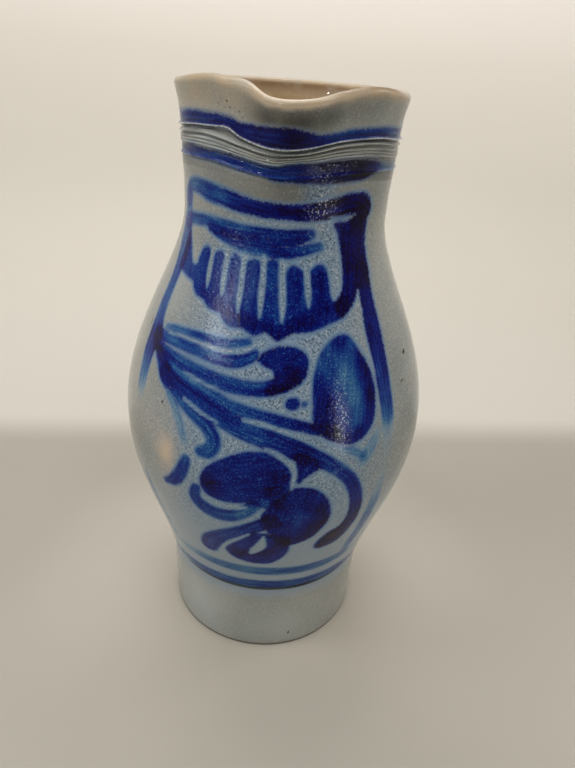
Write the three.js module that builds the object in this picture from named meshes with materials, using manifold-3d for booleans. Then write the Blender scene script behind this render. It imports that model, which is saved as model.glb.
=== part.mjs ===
// A salt-glazed stoneware jug, thrown on the wheel, with a pulled spout and a strap handle.
// Millimetres, +Z up. The origin is the centre of the flat foot, the spout points along -Y
// and the handle along +Y.

import * as THREE from "three";
import { mergeVertices } from "three/addons/utils/BufferGeometryUtils.js";
import Module from "manifold-3d";

const wasm = await Module();
wasm.setup();

// Driving dimensions: heights, each measured up from the one before it
const footHeight = 48.4;
const stepHeight = 1.2;
const bellyRise = 83.8;
const shoulderRise = 103.6;
const neckRise = 21.8;
const beadHeight = 1.2;
const plainStrip = 3.6;
const ridgePitch = 1.25;
const ridgeCount = 6;
const rimRise = 18.3;

// Driving dimensions: outer radii of the thrown wall
const footBottomRadius = 54.7;
const footTopRadius = 55.9;
const bellyLowerRadius = 57.9;
const bellyRadius = 78.1;
const neckRadius = 47.1;
const bandRadius = 48.7;
const rimFootRadius = 48.5;
const rimRadius = 50.8;

// Driving dimensions: wall, floor and small forms
const wall = 5.0;
const footWall = 7.2;
const floorThickness = 8.0;
const floorFillet = 14.0;
const footEdge = 1.2;
const stepDepth = 0.9;
const ridgeDepth = 0.55;
const topRidgeStand = 1.2;
const beadStand = 0.5;
const lipRadius = 2.6;

// Driving dimensions: the belly's curves, as the lengths of their handles and the first slope
const lowerHandle = 33.9;
const lowerSlope = 0.248;
const widestHandleBelow = 30.7;
const widestHandleAbove = 43.1;
const waistHandle = 24.9;

// Driving dimensions: the spout, pulled out between two fingers that pinch the neck beside it
const spoutDepth = 56.0;
const spoutPull = 10.0;
const spoutPower = 2.2;
const spoutAngle = -4;
const spoutHalfAngle = 23.5;
const spoutDip = 3.6;
const dipPower = 1.26;
const dipHalfAngle = 51;
const leftPinch = 5.6;
const rightPinch = 1.2;
const leftPinchAngle = 50;
const rightPinchAngle = 28;
const pinchHalfAngle = 44;
const leftRise = 2.6;
const rightRise = 3.0;
const riseShare = 0.6;

// Driving dimensions: the strap handle
const strapWidth = 29.0;
const strapThickness = 10.5;
const strapGroove = 0.9;
const strapRidges = 3;
const fingerSpace = 34.0;
const upperJointDrop = 8.5;
const handleArch = 7.0;
const handleTurnDrop = 36.0;
const lowerJointRise = 24.0;
const tailLength = 24.0;
const tailWidth = 20.0;
const tailThickness = 3.6;
const tailLean = 0.32;

// Driving dimensions: the clay that lutes the handle on
const jointSpread = 5.5;
const upperJointDepth = 8.0;
const lowerJointDepth = 5.0;
const jointBed = 1.4;
const clearance = 0.3;

// How finely the forms are divided
const wallSegments = 64;
const bellySteps = 9;
const shoulderSteps = 13;
const innerSteps = 8;
const lipSteps = 5;
const strapSteps = 40;
const strapOuterPoints = 12;
const strapInnerPoints = 8;
const jointSegments = 28;

// Heights that follow from the driving dimensions
const stepTop = footHeight + stepHeight;
const widestHeight = stepTop + bellyRise;
const waistHeight = widestHeight + shoulderRise;
const beadBottom = waistHeight + neckRise;
const beadTop = beadBottom + beadHeight;
const bandBottom = beadTop + plainStrip;
const bandTop = bandBottom + ridgePitch * ridgeCount;
const rimHeight = bandTop + rimRise;

const stoneware = new THREE.MeshStandardMaterial({ color: 0x9a9a90, roughness: 0.36, metalness: 0 });
const handleGlaze = new THREE.MeshStandardMaterial({ color: 0x93948b, roughness: 0.38, metalness: 0 });
const jointGlaze = new THREE.MeshStandardMaterial({ color: 0x85867f, roughness: 0.42, metalness: 0 });

const point = (radius, height) => new THREE.Vector2(radius, height);

// A bezier stretch of the profile, without its first point
function stretch(start, startHandle, endHandle, end, steps) {
  return new THREE.CubicBezierCurve(start, startHandle, endHandle, end).getPoints(steps).slice(1);
}

// The belly from the step to its widest point, set in by the given thickness
function lowerBelly(thickness, steps) {
  const startRadius = bellyLowerRadius - thickness;
  const widest = bellyRadius - thickness;
  return stretch(
    point(startRadius, stepTop),
    point(startRadius + lowerSlope * lowerHandle, stepTop + lowerHandle),
    point(widest, widestHeight - widestHandleBelow),
    point(widest, widestHeight),
    steps,
  );
}

// The shoulder from the widest point to the neck's waist, set in by the given thickness
function shoulder(thickness, steps) {
  return stretch(
    point(bellyRadius - thickness, widestHeight),
    point(bellyRadius - thickness, widestHeight + widestHandleAbove),
    point(neckRadius - thickness, waistHeight - waistHandle),
    point(neckRadius - thickness, waistHeight),
    steps,
  );
}

// The outside of the foot: a small bevel, the wall, and the step cut with the turning tool
function footOutline() {
  return [
    point(footBottomRadius - footEdge, 0),
    point(footBottomRadius, footEdge),
    point((footBottomRadius + footTopRadius) / 2, footHeight / 2),
    point(footTopRadius, footHeight - stepHeight),
    point(footTopRadius - stepDepth, footHeight),
    point(bellyLowerRadius - 0.3 * stepHeight, footHeight + 0.4 * stepHeight),
    point(bellyLowerRadius, stepTop),
  ];
}

// The neck above its waist, with the thin raised line and the plain strip for a painted band
function neckOutline() {
  const beadRadius = neckRadius + 0.6 * (bandRadius - neckRadius);
  return [
    point(neckRadius + 0.1 * (bandRadius - neckRadius), waistHeight + 0.5 * neckRise),
    point(beadRadius, beadBottom),
    point(beadRadius + beadStand, beadBottom + 0.35 * beadHeight),
    point(beadRadius + beadStand, beadBottom + 0.65 * beadHeight),
    point(beadRadius, beadTop),
    point(bandRadius - ridgeDepth, bandBottom),
  ];
}

// The ridges left by a notched rib, the topmost one bolder than the rest
function ridgeOutline() {
  const points = [];
  for (let i = 0; i < ridgeCount; i += 1) {
    const isTop = i === ridgeCount - 1;
    const crest = bandRadius + (isTop ? topRidgeStand : 0);
    const valley = isTop ? rimFootRadius : bandRadius - ridgeDepth;
    points.push(point(crest, bandBottom + (i + 0.4) * ridgePitch));
    if (isTop) {
      points.push(point(crest, bandBottom + (i + 0.7) * ridgePitch));
    }
    points.push(point(valley, bandBottom + (i + 1) * ridgePitch));
  }
  return points;
}

// The flared rim and its rounded lip, over to the inside
function rimOutline() {
  const lipHeight = rimHeight - lipRadius;
  const lipCentre = rimRadius - lipRadius;
  const points = [
    point(rimFootRadius + 0.35 * (rimRadius - rimFootRadius), bandTop + 0.45 * rimRise),
  ];
  for (let i = 0; i <= lipSteps; i += 1) {
    const turn = (Math.PI * i) / lipSteps;
    points.push(point(lipCentre + lipRadius * Math.cos(turn), lipHeight + lipRadius * Math.sin(turn)));
  }
  return points;
}

// The inside of the vessel, from the lip down to the floor's centre
function innerOutline() {
  const shoulderDown = shoulder(wall, innerSteps).reverse();
  const bellyDown = lowerBelly(wall, innerSteps).reverse();
  const footInside = footBottomRadius - footWall;
  const points = [
    point(rimFootRadius - wall, bandTop),
    point(neckRadius - wall + 0.3 * (bandRadius - neckRadius), beadBottom),
    ...shoulderDown,
    ...bellyDown,
    point(bellyLowerRadius - wall - 0.4 * (footWall - wall), stepTop - 0.1 * bellyRise),
  ];
  const filletSteps = 4;
  for (let i = 0; i <= filletSteps; i += 1) {
    const turn = (Math.PI / 2) * (i / filletSteps);
    points.push(point(
      footInside - floorFillet * (1 - Math.cos(turn)),
      floorThickness + floorFillet * (1 - Math.sin(turn)),
    ));
  }
  points.push(point(0, floorThickness));
  return points;
}

// The whole outside, from the foot's edge to the lip's outer side
function outerOutline() {
  return [
    ...footOutline(),
    ...lowerBelly(0, bellySteps),
    ...shoulder(0, shoulderSteps),
    ...neckOutline(),
    ...ridgeOutline(),
  ];
}

// A profile turned about the vessel's axis, with its first column at the spout
function turned(profile) {
  const geometry = new THREE.LatheGeometry(profile, wallSegments);
  geometry.rotateX(Math.PI / 2);
  return geometry;
}

// A smooth hump, one at its centre and nothing past its half width
function hump(angle, centre, halfWidth) {
  const reach = Math.min(Math.abs(angle - centre) / halfWidth, 1);
  return Math.cos((Math.PI / 2) * reach) ** 2;
}

// Moves the soft wall at the front: out and down at the spout, in and up beside it
function pullSpout(geometry) {
  const positions = geometry.attributes.position;
  for (let i = 0; i < positions.count; i += 1) {
    const x = positions.getX(i);
    const y = positions.getY(i);
    const z = positions.getZ(i);
    const radius = Math.hypot(x, y);
    const share = THREE.MathUtils.clamp((z - (rimHeight - spoutDepth)) / spoutDepth, 0, 1);
    if (share > 0 && radius > 0) {
      const angle = THREE.MathUtils.radToDeg(Math.atan2(x, -y));
      const left = hump(angle, -leftPinchAngle, pinchHalfAngle);
      const right = hump(angle, rightPinchAngle, pinchHalfAngle);
      const pull = spoutPull * share ** spoutPower * hump(angle, spoutAngle, spoutHalfAngle);
      const pinch = share * (leftPinch * left + rightPinch * right);
      const moved = (radius + pull - pinch) / radius;
      const settle = THREE.MathUtils.smoothstep(share, 0, riseShare);
      const rise = settle * (leftRise * left + rightRise * right);
      const dip = spoutDip * share ** dipPower * hump(angle, 0, dipHalfAngle);
      positions.setXYZ(i, x * moved, y * moved, z + rise - dip);
    }
  }
  return geometry;
}

// A closed geometry as a solid, and back again
function toSolid(geometry) {
  const bare = geometry.clone();
  bare.deleteAttribute("normal");
  bare.deleteAttribute("uv");
  const merged = mergeVertices(bare, 1e-4);
  return new wasm.Manifold(new wasm.Mesh({
    numProp: 3,
    vertProperties: new Float32Array(merged.attributes.position.array),
    triVerts: new Uint32Array(merged.index.array),
  }));
}

function toGeometry(solid) {
  const mesh = solid.getMesh();
  const geometry = new THREE.BufferGeometry();
  geometry.setAttribute("position", new THREE.BufferAttribute(new Float32Array(mesh.vertProperties), 3));
  geometry.setIndex(new THREE.BufferAttribute(new Uint32Array(mesh.triVerts), 1));
  geometry.computeVertexNormals();
  return geometry;
}

// The outer radius of the thrown wall at a height, away from the spout
function wallRadius(height) {
  const outline = outerOutline();
  const above = outline.findIndex((p) => p.y > height);
  const lower = outline[above - 1];
  const upper = outline[above];
  return THREE.MathUtils.mapLinear(height, lower.y, upper.y, lower.x, upper.x);
}

// The space that the vessel takes up, grown by the clearance, to cut whatever is laid on it
function wallSpace() {
  const outline = outerOutline().map((p) => point(p.x + clearance, p.y));
  return toSolid(turned([point(0, 0), ...outline, point(0, bandTop)]));
}

// The handle's centre line in the plane x = 0, from the clay on the neck to the end of its tail.
// Both ends lie on a bed of joint clay.
function handlePath() {
  const upperHeight = bandBottom - upperJointDrop;
  const lowerHeight = widestHeight + lowerJointRise;
  const turnHeight = upperHeight - handleTurnDrop;
  const outside = wallRadius(turnHeight) + fingerSpace + strapThickness / 2;
  const upperWall = wallRadius(upperHeight);
  const lowerWall = wallRadius(lowerHeight) + jointBed + 0.72 * strapThickness;
  const tailHeight = lowerHeight - tailLength;
  const tailWall = wallRadius(tailHeight) + jointBed + tailThickness / 2;
  const at = (y, z) => new THREE.Vector3(0, y, z);
  const path = new THREE.CurvePath();
  path.add(new THREE.CubicBezierCurve3(
    at(upperWall + jointBed, upperHeight),
    at(upperWall + 0.45 * fingerSpace, upperHeight),
    at(outside, upperHeight + 2 * handleArch),
    at(outside, turnHeight),
  ));
  path.add(new THREE.CubicBezierCurve3(
    at(outside, turnHeight),
    at(outside, lowerHeight + 0.75 * lowerJointRise),
    at(lowerWall + tailLean * 0.75 * tailLength, lowerHeight + 0.75 * tailLength),
    at(lowerWall, lowerHeight),
  ));
  path.add(new THREE.QuadraticBezierCurve3(
    at(lowerWall, lowerHeight),
    at(lowerWall - tailLean * 0.3 * tailLength, lowerHeight - 0.3 * tailLength),
    at(tailWall, tailHeight),
  ));
  return path;
}

// Half the strap's section height across its width: a soft edge, and ridges on the outer face
function strapFace(across, width, thickness, isOuter) {
  const share = Math.abs(across) / (width / 2);
  const edge = Math.sqrt(Math.max(0, 1 - share ** 4));
  const wave = 0.5 + 0.5 * Math.cos(2 * Math.PI * strapRidges * (0.5 + across / width));
  return edge * (thickness / 2 - (isOuter ? strapGroove * wave : 0));
}

// One section of the strap, as points round it: across the strap and out from its centre line
function strapSection(width, thickness) {
  const points = [];
  for (let i = 0; i < strapOuterPoints; i += 1) {
    const across = -(width / 2) * Math.cos((Math.PI * i) / strapOuterPoints);
    points.push(point(across, strapFace(across, width, thickness, true)));
  }
  for (let i = 0; i < strapInnerPoints; i += 1) {
    const across = (width / 2) * Math.cos((Math.PI * i) / strapInnerPoints);
    points.push(point(across, -strapFace(across, width, thickness, false)));
  }
  return points;
}

// Joins rings of points into one closed skin, with a fan of triangles over each end
function skin(rings) {
  const count = rings[0].length;
  const vertices = rings.flat();
  const faces = [];
  for (let i = 0; i < rings.length - 1; i += 1) {
    for (let j = 0; j < count; j += 1) {
      const a = i * count + j;
      const b = i * count + ((j + 1) % count);
      faces.push(a, b, b + count, a, b + count, a + count);
    }
  }
  for (const [ring, flips] of [[0, true], [rings.length - 1, false]]) {
    const centre = vertices.length;
    const middle = rings[ring].reduce((sum, p) => sum.add(p), new THREE.Vector3()).divideScalar(count);
    vertices.push(middle);
    for (let j = 0; j < count; j += 1) {
      const a = ring * count + j;
      const b = ring * count + ((j + 1) % count);
      faces.push(...(flips ? [centre, b, a] : [centre, a, b]));
    }
  }
  const geometry = new THREE.BufferGeometry().setFromPoints(vertices);
  geometry.setIndex(faces);
  return geometry;
}

// The strap swept along its path, narrower and thinner along the tail, grown by a margin
function strap(margin) {
  const path = handlePath();
  const tailShare = tailLength / path.getLength();
  const rings = [];
  for (let i = 0; i <= strapSteps; i += 1) {
    const along = i / strapSteps;
    const centre = path.getPointAt(along);
    const heading = path.getTangentAt(along);
    const outward = new THREE.Vector3(0, -heading.z, heading.y);
    const thinning = THREE.MathUtils.smoothstep(along, 1 - 2.2 * tailShare, 1);
    const width = THREE.MathUtils.lerp(strapWidth, tailWidth, thinning) + 2 * margin;
    const thickness = THREE.MathUtils.lerp(strapThickness, tailThickness, thinning) + 2 * margin;
    rings.push(strapSection(width, thickness).map((p) => new THREE.Vector3(
      p.x,
      centre.y + outward.y * p.y,
      centre.z + outward.z * p.y,
    )));
  }
  return toSolid(skin(rings));
}

// A pad of soft clay centred on the wall, as wide as what it holds and a spread more
function clayPad(height, halfWidth, depth, halfHeight) {
  const pad = new THREE.SphereGeometry(1, jointSegments, jointSegments / 2);
  pad.scale(halfWidth + jointSpread, depth, halfHeight + jointSpread);
  pad.translate(0, wallRadius(height), height);
  return toSolid(pad);
}

function piece(name, geometry, material) {
  const mesh = new THREE.Mesh(geometry, material);
  mesh.name = name;
  return mesh;
}

function thrownBody() {
  const profile = [point(0, 0), ...outerOutline(), ...rimOutline(), ...innerOutline()];
  return piece("thrown_body", pullSpout(turned(profile)), stoneware);
}

function strapHandle() {
  return piece("strap_handle", toGeometry(strap(0)), handleGlaze);
}

function upperJointClay() {
  const height = bandBottom - upperJointDrop;
  const pad = clayPad(height, strapWidth / 2, upperJointDepth, strapThickness / 2);
  const clay = pad.subtract(wallSpace()).subtract(strap(clearance));
  return piece("upper_joint_clay", toGeometry(clay), jointGlaze);
}

function lowerJointClay() {
  const height = widestHeight + lowerJointRise - tailLength / 2;
  const pad = clayPad(height, tailWidth / 2, lowerJointDepth, tailLength / 2);
  const clay = pad.subtract(wallSpace()).subtract(strap(clearance));
  return piece("lower_joint_clay", toGeometry(clay), jointGlaze);
}

const jug = new THREE.Group();
jug.name = "stoneware_jug";
jug.add(thrownBody(), strapHandle(), upperJointClay(), lowerJointClay());

export default jug;
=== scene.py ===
# The looks of a salt-glazed stoneware jug: its clay, glaze, painted decoration, light and camera.
# Shapes are worked out in millimetres and made in metres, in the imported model's frame.
import math

import bpy
import numpy as np
from mathutils import Matrix, Vector


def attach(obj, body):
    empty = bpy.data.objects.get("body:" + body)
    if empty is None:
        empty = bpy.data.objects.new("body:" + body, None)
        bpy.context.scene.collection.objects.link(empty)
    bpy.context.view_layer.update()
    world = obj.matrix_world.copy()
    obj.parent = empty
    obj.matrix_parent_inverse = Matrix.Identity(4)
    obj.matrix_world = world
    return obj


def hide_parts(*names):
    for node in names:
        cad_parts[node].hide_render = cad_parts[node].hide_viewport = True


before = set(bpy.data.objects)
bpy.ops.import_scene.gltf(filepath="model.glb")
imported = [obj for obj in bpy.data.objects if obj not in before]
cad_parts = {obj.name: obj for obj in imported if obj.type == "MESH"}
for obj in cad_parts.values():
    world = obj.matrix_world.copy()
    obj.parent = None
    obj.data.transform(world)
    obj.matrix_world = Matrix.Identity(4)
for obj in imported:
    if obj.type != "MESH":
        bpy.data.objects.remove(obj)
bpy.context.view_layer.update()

MM = 0.001

# Heights and radii of the thrown wall, as in the part's source
FOOT_HEIGHT = 48.4
STEP_TOP = 49.6
WIDEST_HEIGHT = 133.4
WAIST_HEIGHT = 237.0
BEAD_HEIGHT = 259.4
BAND_BOTTOM = 263.6
BAND_TOP = 271.1
RIM_HEIGHT = 289.4
FOOT_BOTTOM_RADIUS = 54.7
FOOT_TOP_RADIUS = 55.9
BELLY_LOWER_RADIUS = 57.9
BELLY_RADIUS = 78.1
NECK_RADIUS = 47.1
BAND_RADIUS = 48.7
RIM_FOOT_RADIUS = 48.5
RIM_RADIUS = 50.8
WALL = 5.0
FOOT_WALL = 7.2
FLOOR_THICKNESS = 8.0
FLOOR_FILLET = 14.0
FOOT_EDGE = 1.2
STEP_DEPTH = 0.9
LIP_RADIUS = 2.6

# The belly's curves
LOWER_HANDLE = 33.9
LOWER_SLOPE = 0.248
WIDEST_HANDLE_BELOW = 30.7
WIDEST_HANDLE_ABOVE = 43.1
WAIST_HANDLE = 24.9

# The spout, pulled out between two fingers
SPOUT_DEPTH = 56.0
SPOUT_PULL = 10.0
SPOUT_POWER = 2.2
SPOUT_ANGLE = -4.0
SPOUT_HALF_ANGLE = 23.5
SPOUT_DIP = 3.6
DIP_POWER = 1.26
DIP_HALF_ANGLE = 51.0
LEFT_PINCH = 5.6
RIGHT_PINCH = 1.2
LEFT_PINCH_ANGLE = 50.0
RIGHT_PINCH_ANGLE = 28.0
PINCH_HALF_ANGLE = 44.0
LEFT_RISE = 2.6
RIGHT_RISE = 3.0
RISE_SHARE = 0.6
CORNER_RISE = 1.8
CORNER_FROM = 0.84
CORNER_ANGLE = -27.0
CORNER_HALF_ANGLE = 15.0

# The strap handle and the clay that holds it
STRAP_WIDTH = 29.0
STRAP_THICKNESS = 10.5
STRAP_GROOVE = 0.9
STRAP_RIDGES = 3
FINGER_SPACE = 34.0
UPPER_JOINT_DROP = 8.5
HANDLE_ARCH = 7.0
HANDLE_TURN_DROP = 36.0
LOWER_JOINT_RISE = 24.0
TAIL_LENGTH = 24.0
TAIL_WIDTH = 20.0
TAIL_THICKNESS = 3.6
TAIL_LEAN = 0.32
JOINT_BED = 1.4
JOINT_SPREAD = 5.5
JOINT_SINK = 0.3

# The handle's line, as shares: how far it first runs straight out, how far above the lower
# joint it turns in, how far below it the tail bends, and how deep the strap sits there
UPPER_STRAIGHT = 0.45
LOWER_APPROACH = 0.75
TAIL_BEND = 0.3
LOWER_SEAT = 0.72

# The strap thins out over so many tail lengths, and its end is rounded off from this share of
# the way on, down to these shares of its width and thickness; it sways by so many millimetres
THINNING = 2.2
END_FROM = 0.985
END_WIDTH = 0.55
END_THICKNESS = 0.25
STRAP_SWAY = 0.35

# The joint clays: how far each flares, closes and swells, and how quickly
UPPER_FLARE = 6.0
FLARE_POWER = 2.4
UPPER_CLOSE = 0.05
UPPER_SWELL = 6.0
LOWER_CLOSING = 0.62
LOWER_SWELL = 4.9
SWELL_POWER = 1.3

# How finely the pieces are divided
FRONT_FROM = -74.0
FRONT_TO = 44.0
FRONT_COLUMNS = 198
BACK_COLUMNS = 75
INSIDE_EVERY = 3
LIP_ROWS = 10
HANDLE_RINGS = 150
HANDLE_POINTS = 56
JOINT_ROWS = 14
SWEEP_COLUMNS = 96


def smooth(low, high, value):
    t = np.clip((value - low) / (high - low), 0.0, 1.0)
    return t * t * (3.0 - 2.0 * t)


def plateau(value, start, full, fade, end):
    """Rises from 0 to 1 between start and full, and falls to 0 between fade and end."""
    return smooth(start, full, value) * (1 - smooth(fade, end, value))


def hump(angle, centre, half_width):
    reach = np.minimum(np.abs(angle - centre) / half_width, 1.0)
    return np.cos(np.pi / 2 * reach) ** 2


def bell(value, centre, width):
    return np.exp(-(((value - centre) / width) ** 2))


def bezier(start, start_handle, end_handle, end, steps=60):
    t = np.linspace(0.0, 1.0, steps + 1)[:, None]
    points = [np.array(p, float) for p in (start, start_handle, end_handle, end)]
    shares = ((1 - t) ** 3, 3 * (1 - t) ** 2 * t, 3 * (1 - t) * t**2, t**3)
    return sum(share * point for share, point in zip(shares, points))


def belly_curve(thickness):
    """Radius and height from the step to the neck's waist, set in by a thickness."""
    low = BELLY_LOWER_RADIUS - thickness
    wide = BELLY_RADIUS - thickness
    narrow = NECK_RADIUS - thickness
    lower = bezier(
        (low, STEP_TOP),
        (low + LOWER_SLOPE * LOWER_HANDLE, STEP_TOP + LOWER_HANDLE),
        (wide, WIDEST_HEIGHT - WIDEST_HANDLE_BELOW),
        (wide, WIDEST_HEIGHT),
    )
    upper = bezier(
        (wide, WIDEST_HEIGHT),
        (wide, WIDEST_HEIGHT + WIDEST_HANDLE_ABOVE),
        (narrow, WAIST_HEIGHT - WAIST_HANDLE),
        (narrow, WAIST_HEIGHT),
    )
    return np.vstack([lower, upper[1:]])


# The plain outside without its fine turned lines, as radius and height
OUTER_WALL = np.array([
    (FOOT_BOTTOM_RADIUS, FOOT_EDGE),
    (FOOT_TOP_RADIUS, FOOT_HEIGHT - 1.2),
    (FOOT_TOP_RADIUS - 0.6 * STEP_DEPTH, FOOT_HEIGHT - 0.5),
    (FOOT_TOP_RADIUS - STEP_DEPTH, FOOT_HEIGHT),
    (BELLY_LOWER_RADIUS - 0.5, FOOT_HEIGHT + 0.5),
    (BELLY_LOWER_RADIUS - 0.1, FOOT_HEIGHT + 0.85),
    *belly_curve(0.0),
    (NECK_RADIUS + 0.16, WAIST_HEIGHT + 10.9),
    (NECK_RADIUS + 0.9, BEAD_HEIGHT - 0.7),
    (NECK_RADIUS + 1.0, BAND_BOTTOM - 0.3),
    (BAND_RADIUS - 0.35, BAND_BOTTOM),
    (BAND_RADIUS - 0.35, BAND_TOP - 1.2),
    (RIM_FOOT_RADIUS, BAND_TOP),
    (RIM_FOOT_RADIUS + 0.8, BAND_TOP + 8.2),
    (RIM_RADIUS, RIM_HEIGHT - LIP_RADIUS),
])

# Turned lines round the vessel, which the pulled spout bent and tore a little: azimuth, height
TOP_LINE = [(-180, 270.7), (-90, 271), (-66, 271), (-54, 270.8), (-46, 271.2), (-40.6, 271.9),
    (-36.2, 272.2), (-32.9, 271.5), (-29.4, 270.6), (-24, 270.2), (-16, 270.2), (-7, 270.3), (2, 270.6),
    (16, 271), (34, 270.7), (49, 271.2), (90, 271), (180, 270.7)]
SECOND_LINE = [(-180, 268.4), (-90, 268.5), (-66, 268.3), (-54, 268), (-44, 267.6), (-36, 267.5),
    (-28, 267.6), (-20, 267.8), (-7, 268.3), (2, 268.6), (16, 269), (34, 268.7), (49, 269), (90, 268.8),
    (180, 268.4)]
STEP_LINE = [(-180, 263.3), (-90, 263.6), (-66, 262.5), (-52, 261.6), (-42, 261.9), (-31, 262.4),
    (-23, 262.6), (-16, 262.7), (-10, 263.1), (-7.4, 263.9), (-6, 264.4), (0, 264.4), (10, 263.6),
    (20, 263.3), (31, 262.8), (44, 262.4), (68, 263.4), (180, 263.3)]
BEAD_LINE = [(-180, 259.4), (-76, 259.5), (-59, 258.9), (-32, 258.7), (-19, 259.1), (-5, 259.1),
    (10, 258.6), (30, 258.3), (44, 258.6), (60, 259.4), (180, 259.4)]

# The bead and the groove under it: how far each lies from the bead's line, how far it stands
# out, and half its width in millimetres
BEAD_FORMS = [(0, 0.5, 0.42), (-0.8, -0.22, 0.35)]
# Lines above the second one: share of the way from it to the top line, and the same
UPPER_LINES = [(1, 1.2, 0.42), (0.6, -0.5, 0.28), (0, 0.85, 0.38)]
# Lines below it: share of the way from the step to it, and the same
LOWER_LINES = [(0.83, -0.55, 0.32), (0.66, 0.42, 0.34), (0.55, -0.25, 0.2), (0.44, 0.34, 0.3),
    (0.34, -0.22, 0.18), (0.23, 0.36, 0.32), (0.1, -0.12, 0.2), (-0.04, -0.42, 0.26)]

# How much a line's height and place vary, and how far the lower ones are worn on the right
LINE_WEAR = 0.30
LINE_DRIFT = 0.10
RIGHT_WEAR = 0.55
RIGHT_WORN = (5.0, 35.0, 60.0, 90.0)
WEAR_SEED = 20
DRIFT_SEED = 50
STEP_SEED = 91
FRONT_SEED = 77

# How deep the fingers' spiral and the unevenness of the throwing are, in millimetres
SPIRAL_DEPTH = 0.045
UNEVEN_DEPTH = 0.12


def line_height(line, azimuth):
    return np.interp(azimuth, *np.transpose(line))


def wave_round(azimuth, seed, coarse=3):
    """A smooth random wave round the vessel, between about -1 and 1."""
    turn = np.radians(azimuth)
    rng = np.random.default_rng(seed)
    total = np.zeros_like(turn)
    for k in range(1, coarse + 5):
        amount = rng.uniform(0.3, 1.0) / (1.0 + 0.35 * k)
        total += amount * np.sin(k * turn * (1 + coarse // 3) + rng.uniform(0, 2 * np.pi))
    return total / 2.0


def relief(azimuth, height):
    """The fine turned lines: how far they stand out from the plain wall."""
    top, second, step, bead = (
        line_height(line, azimuth) for line in (TOP_LINE, SECOND_LINE, STEP_LINE, BEAD_LINE)
    )
    stand = sum(amount * bell(height, bead + off, half) for off, amount, half in BEAD_FORMS)
    lines = [(second + share * (top - second), *form) for share, *form in UPPER_LINES]
    lines += [(step + share * (second - step), *form) for share, *form in LOWER_LINES]
    for i, (at, amount, half) in enumerate(lines):
        worn = 1.0 + LINE_WEAR * wave_round(azimuth, WEAR_SEED + i, 6)
        if i >= len(UPPER_LINES):
            worn = worn * (1 - RIGHT_WEAR * plateau(azimuth, *RIGHT_WORN))
        drift = LINE_DRIFT * wave_round(azimuth, DRIFT_SEED + i, 9)
        stand = stand + amount * worn * bell(height + drift, at, half)
    return stand


def throwing(azimuth, height):
    """The shallow spiral left by the potter's fingers and rib, always inwards."""
    turn = np.radians(azimuth)
    spiral = np.sin(height / 1.9 + turn) + 0.7 * np.sin(height / 4.7 - turn + 1.0)
    uneven = np.sin(2 * turn + height / 31.0) + 0.5 * np.sin(3 * turn - height / 17.0)
    return -SPIRAL_DEPTH * (1.7 - spiral) * 0.5 - UNEVEN_DEPTH * (1.5 - uneven) * 0.5


def wall_radius(height):
    return np.interp(height, OUTER_WALL[:, 1], OUTER_WALL[:, 0])


def place(azimuth, radius, height):
    """Points of the wall after the spout has been pulled, in millimetres."""
    share = np.clip((height - (RIM_HEIGHT - SPOUT_DEPTH)) / SPOUT_DEPTH, 0.0, 1.0)
    left = hump(azimuth, -LEFT_PINCH_ANGLE, PINCH_HALF_ANGLE)
    right = hump(azimuth, RIGHT_PINCH_ANGLE, PINCH_HALF_ANGLE)
    corner = hump(azimuth, CORNER_ANGLE, CORNER_HALF_ANGLE)
    pull = SPOUT_PULL * share**SPOUT_POWER * hump(azimuth, SPOUT_ANGLE, SPOUT_HALF_ANGLE)
    moved = radius + pull - share * (LEFT_PINCH * left + RIGHT_PINCH * right)
    moved = np.where(radius > 0, moved, 0.0)
    lift = smooth(0.0, RISE_SHARE, share) * (LEFT_RISE * left + RIGHT_RISE * right)
    lift += CORNER_RISE * smooth(CORNER_FROM, 1.0, share) * corner
    dip = SPOUT_DIP * share**DIP_POWER * hump(azimuth, 0.0, DIP_HALF_ANGLE)
    turn = np.radians(azimuth)
    return np.stack([moved * np.sin(turn), -moved * np.cos(turn), height + lift - dip], axis=-1)


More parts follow.
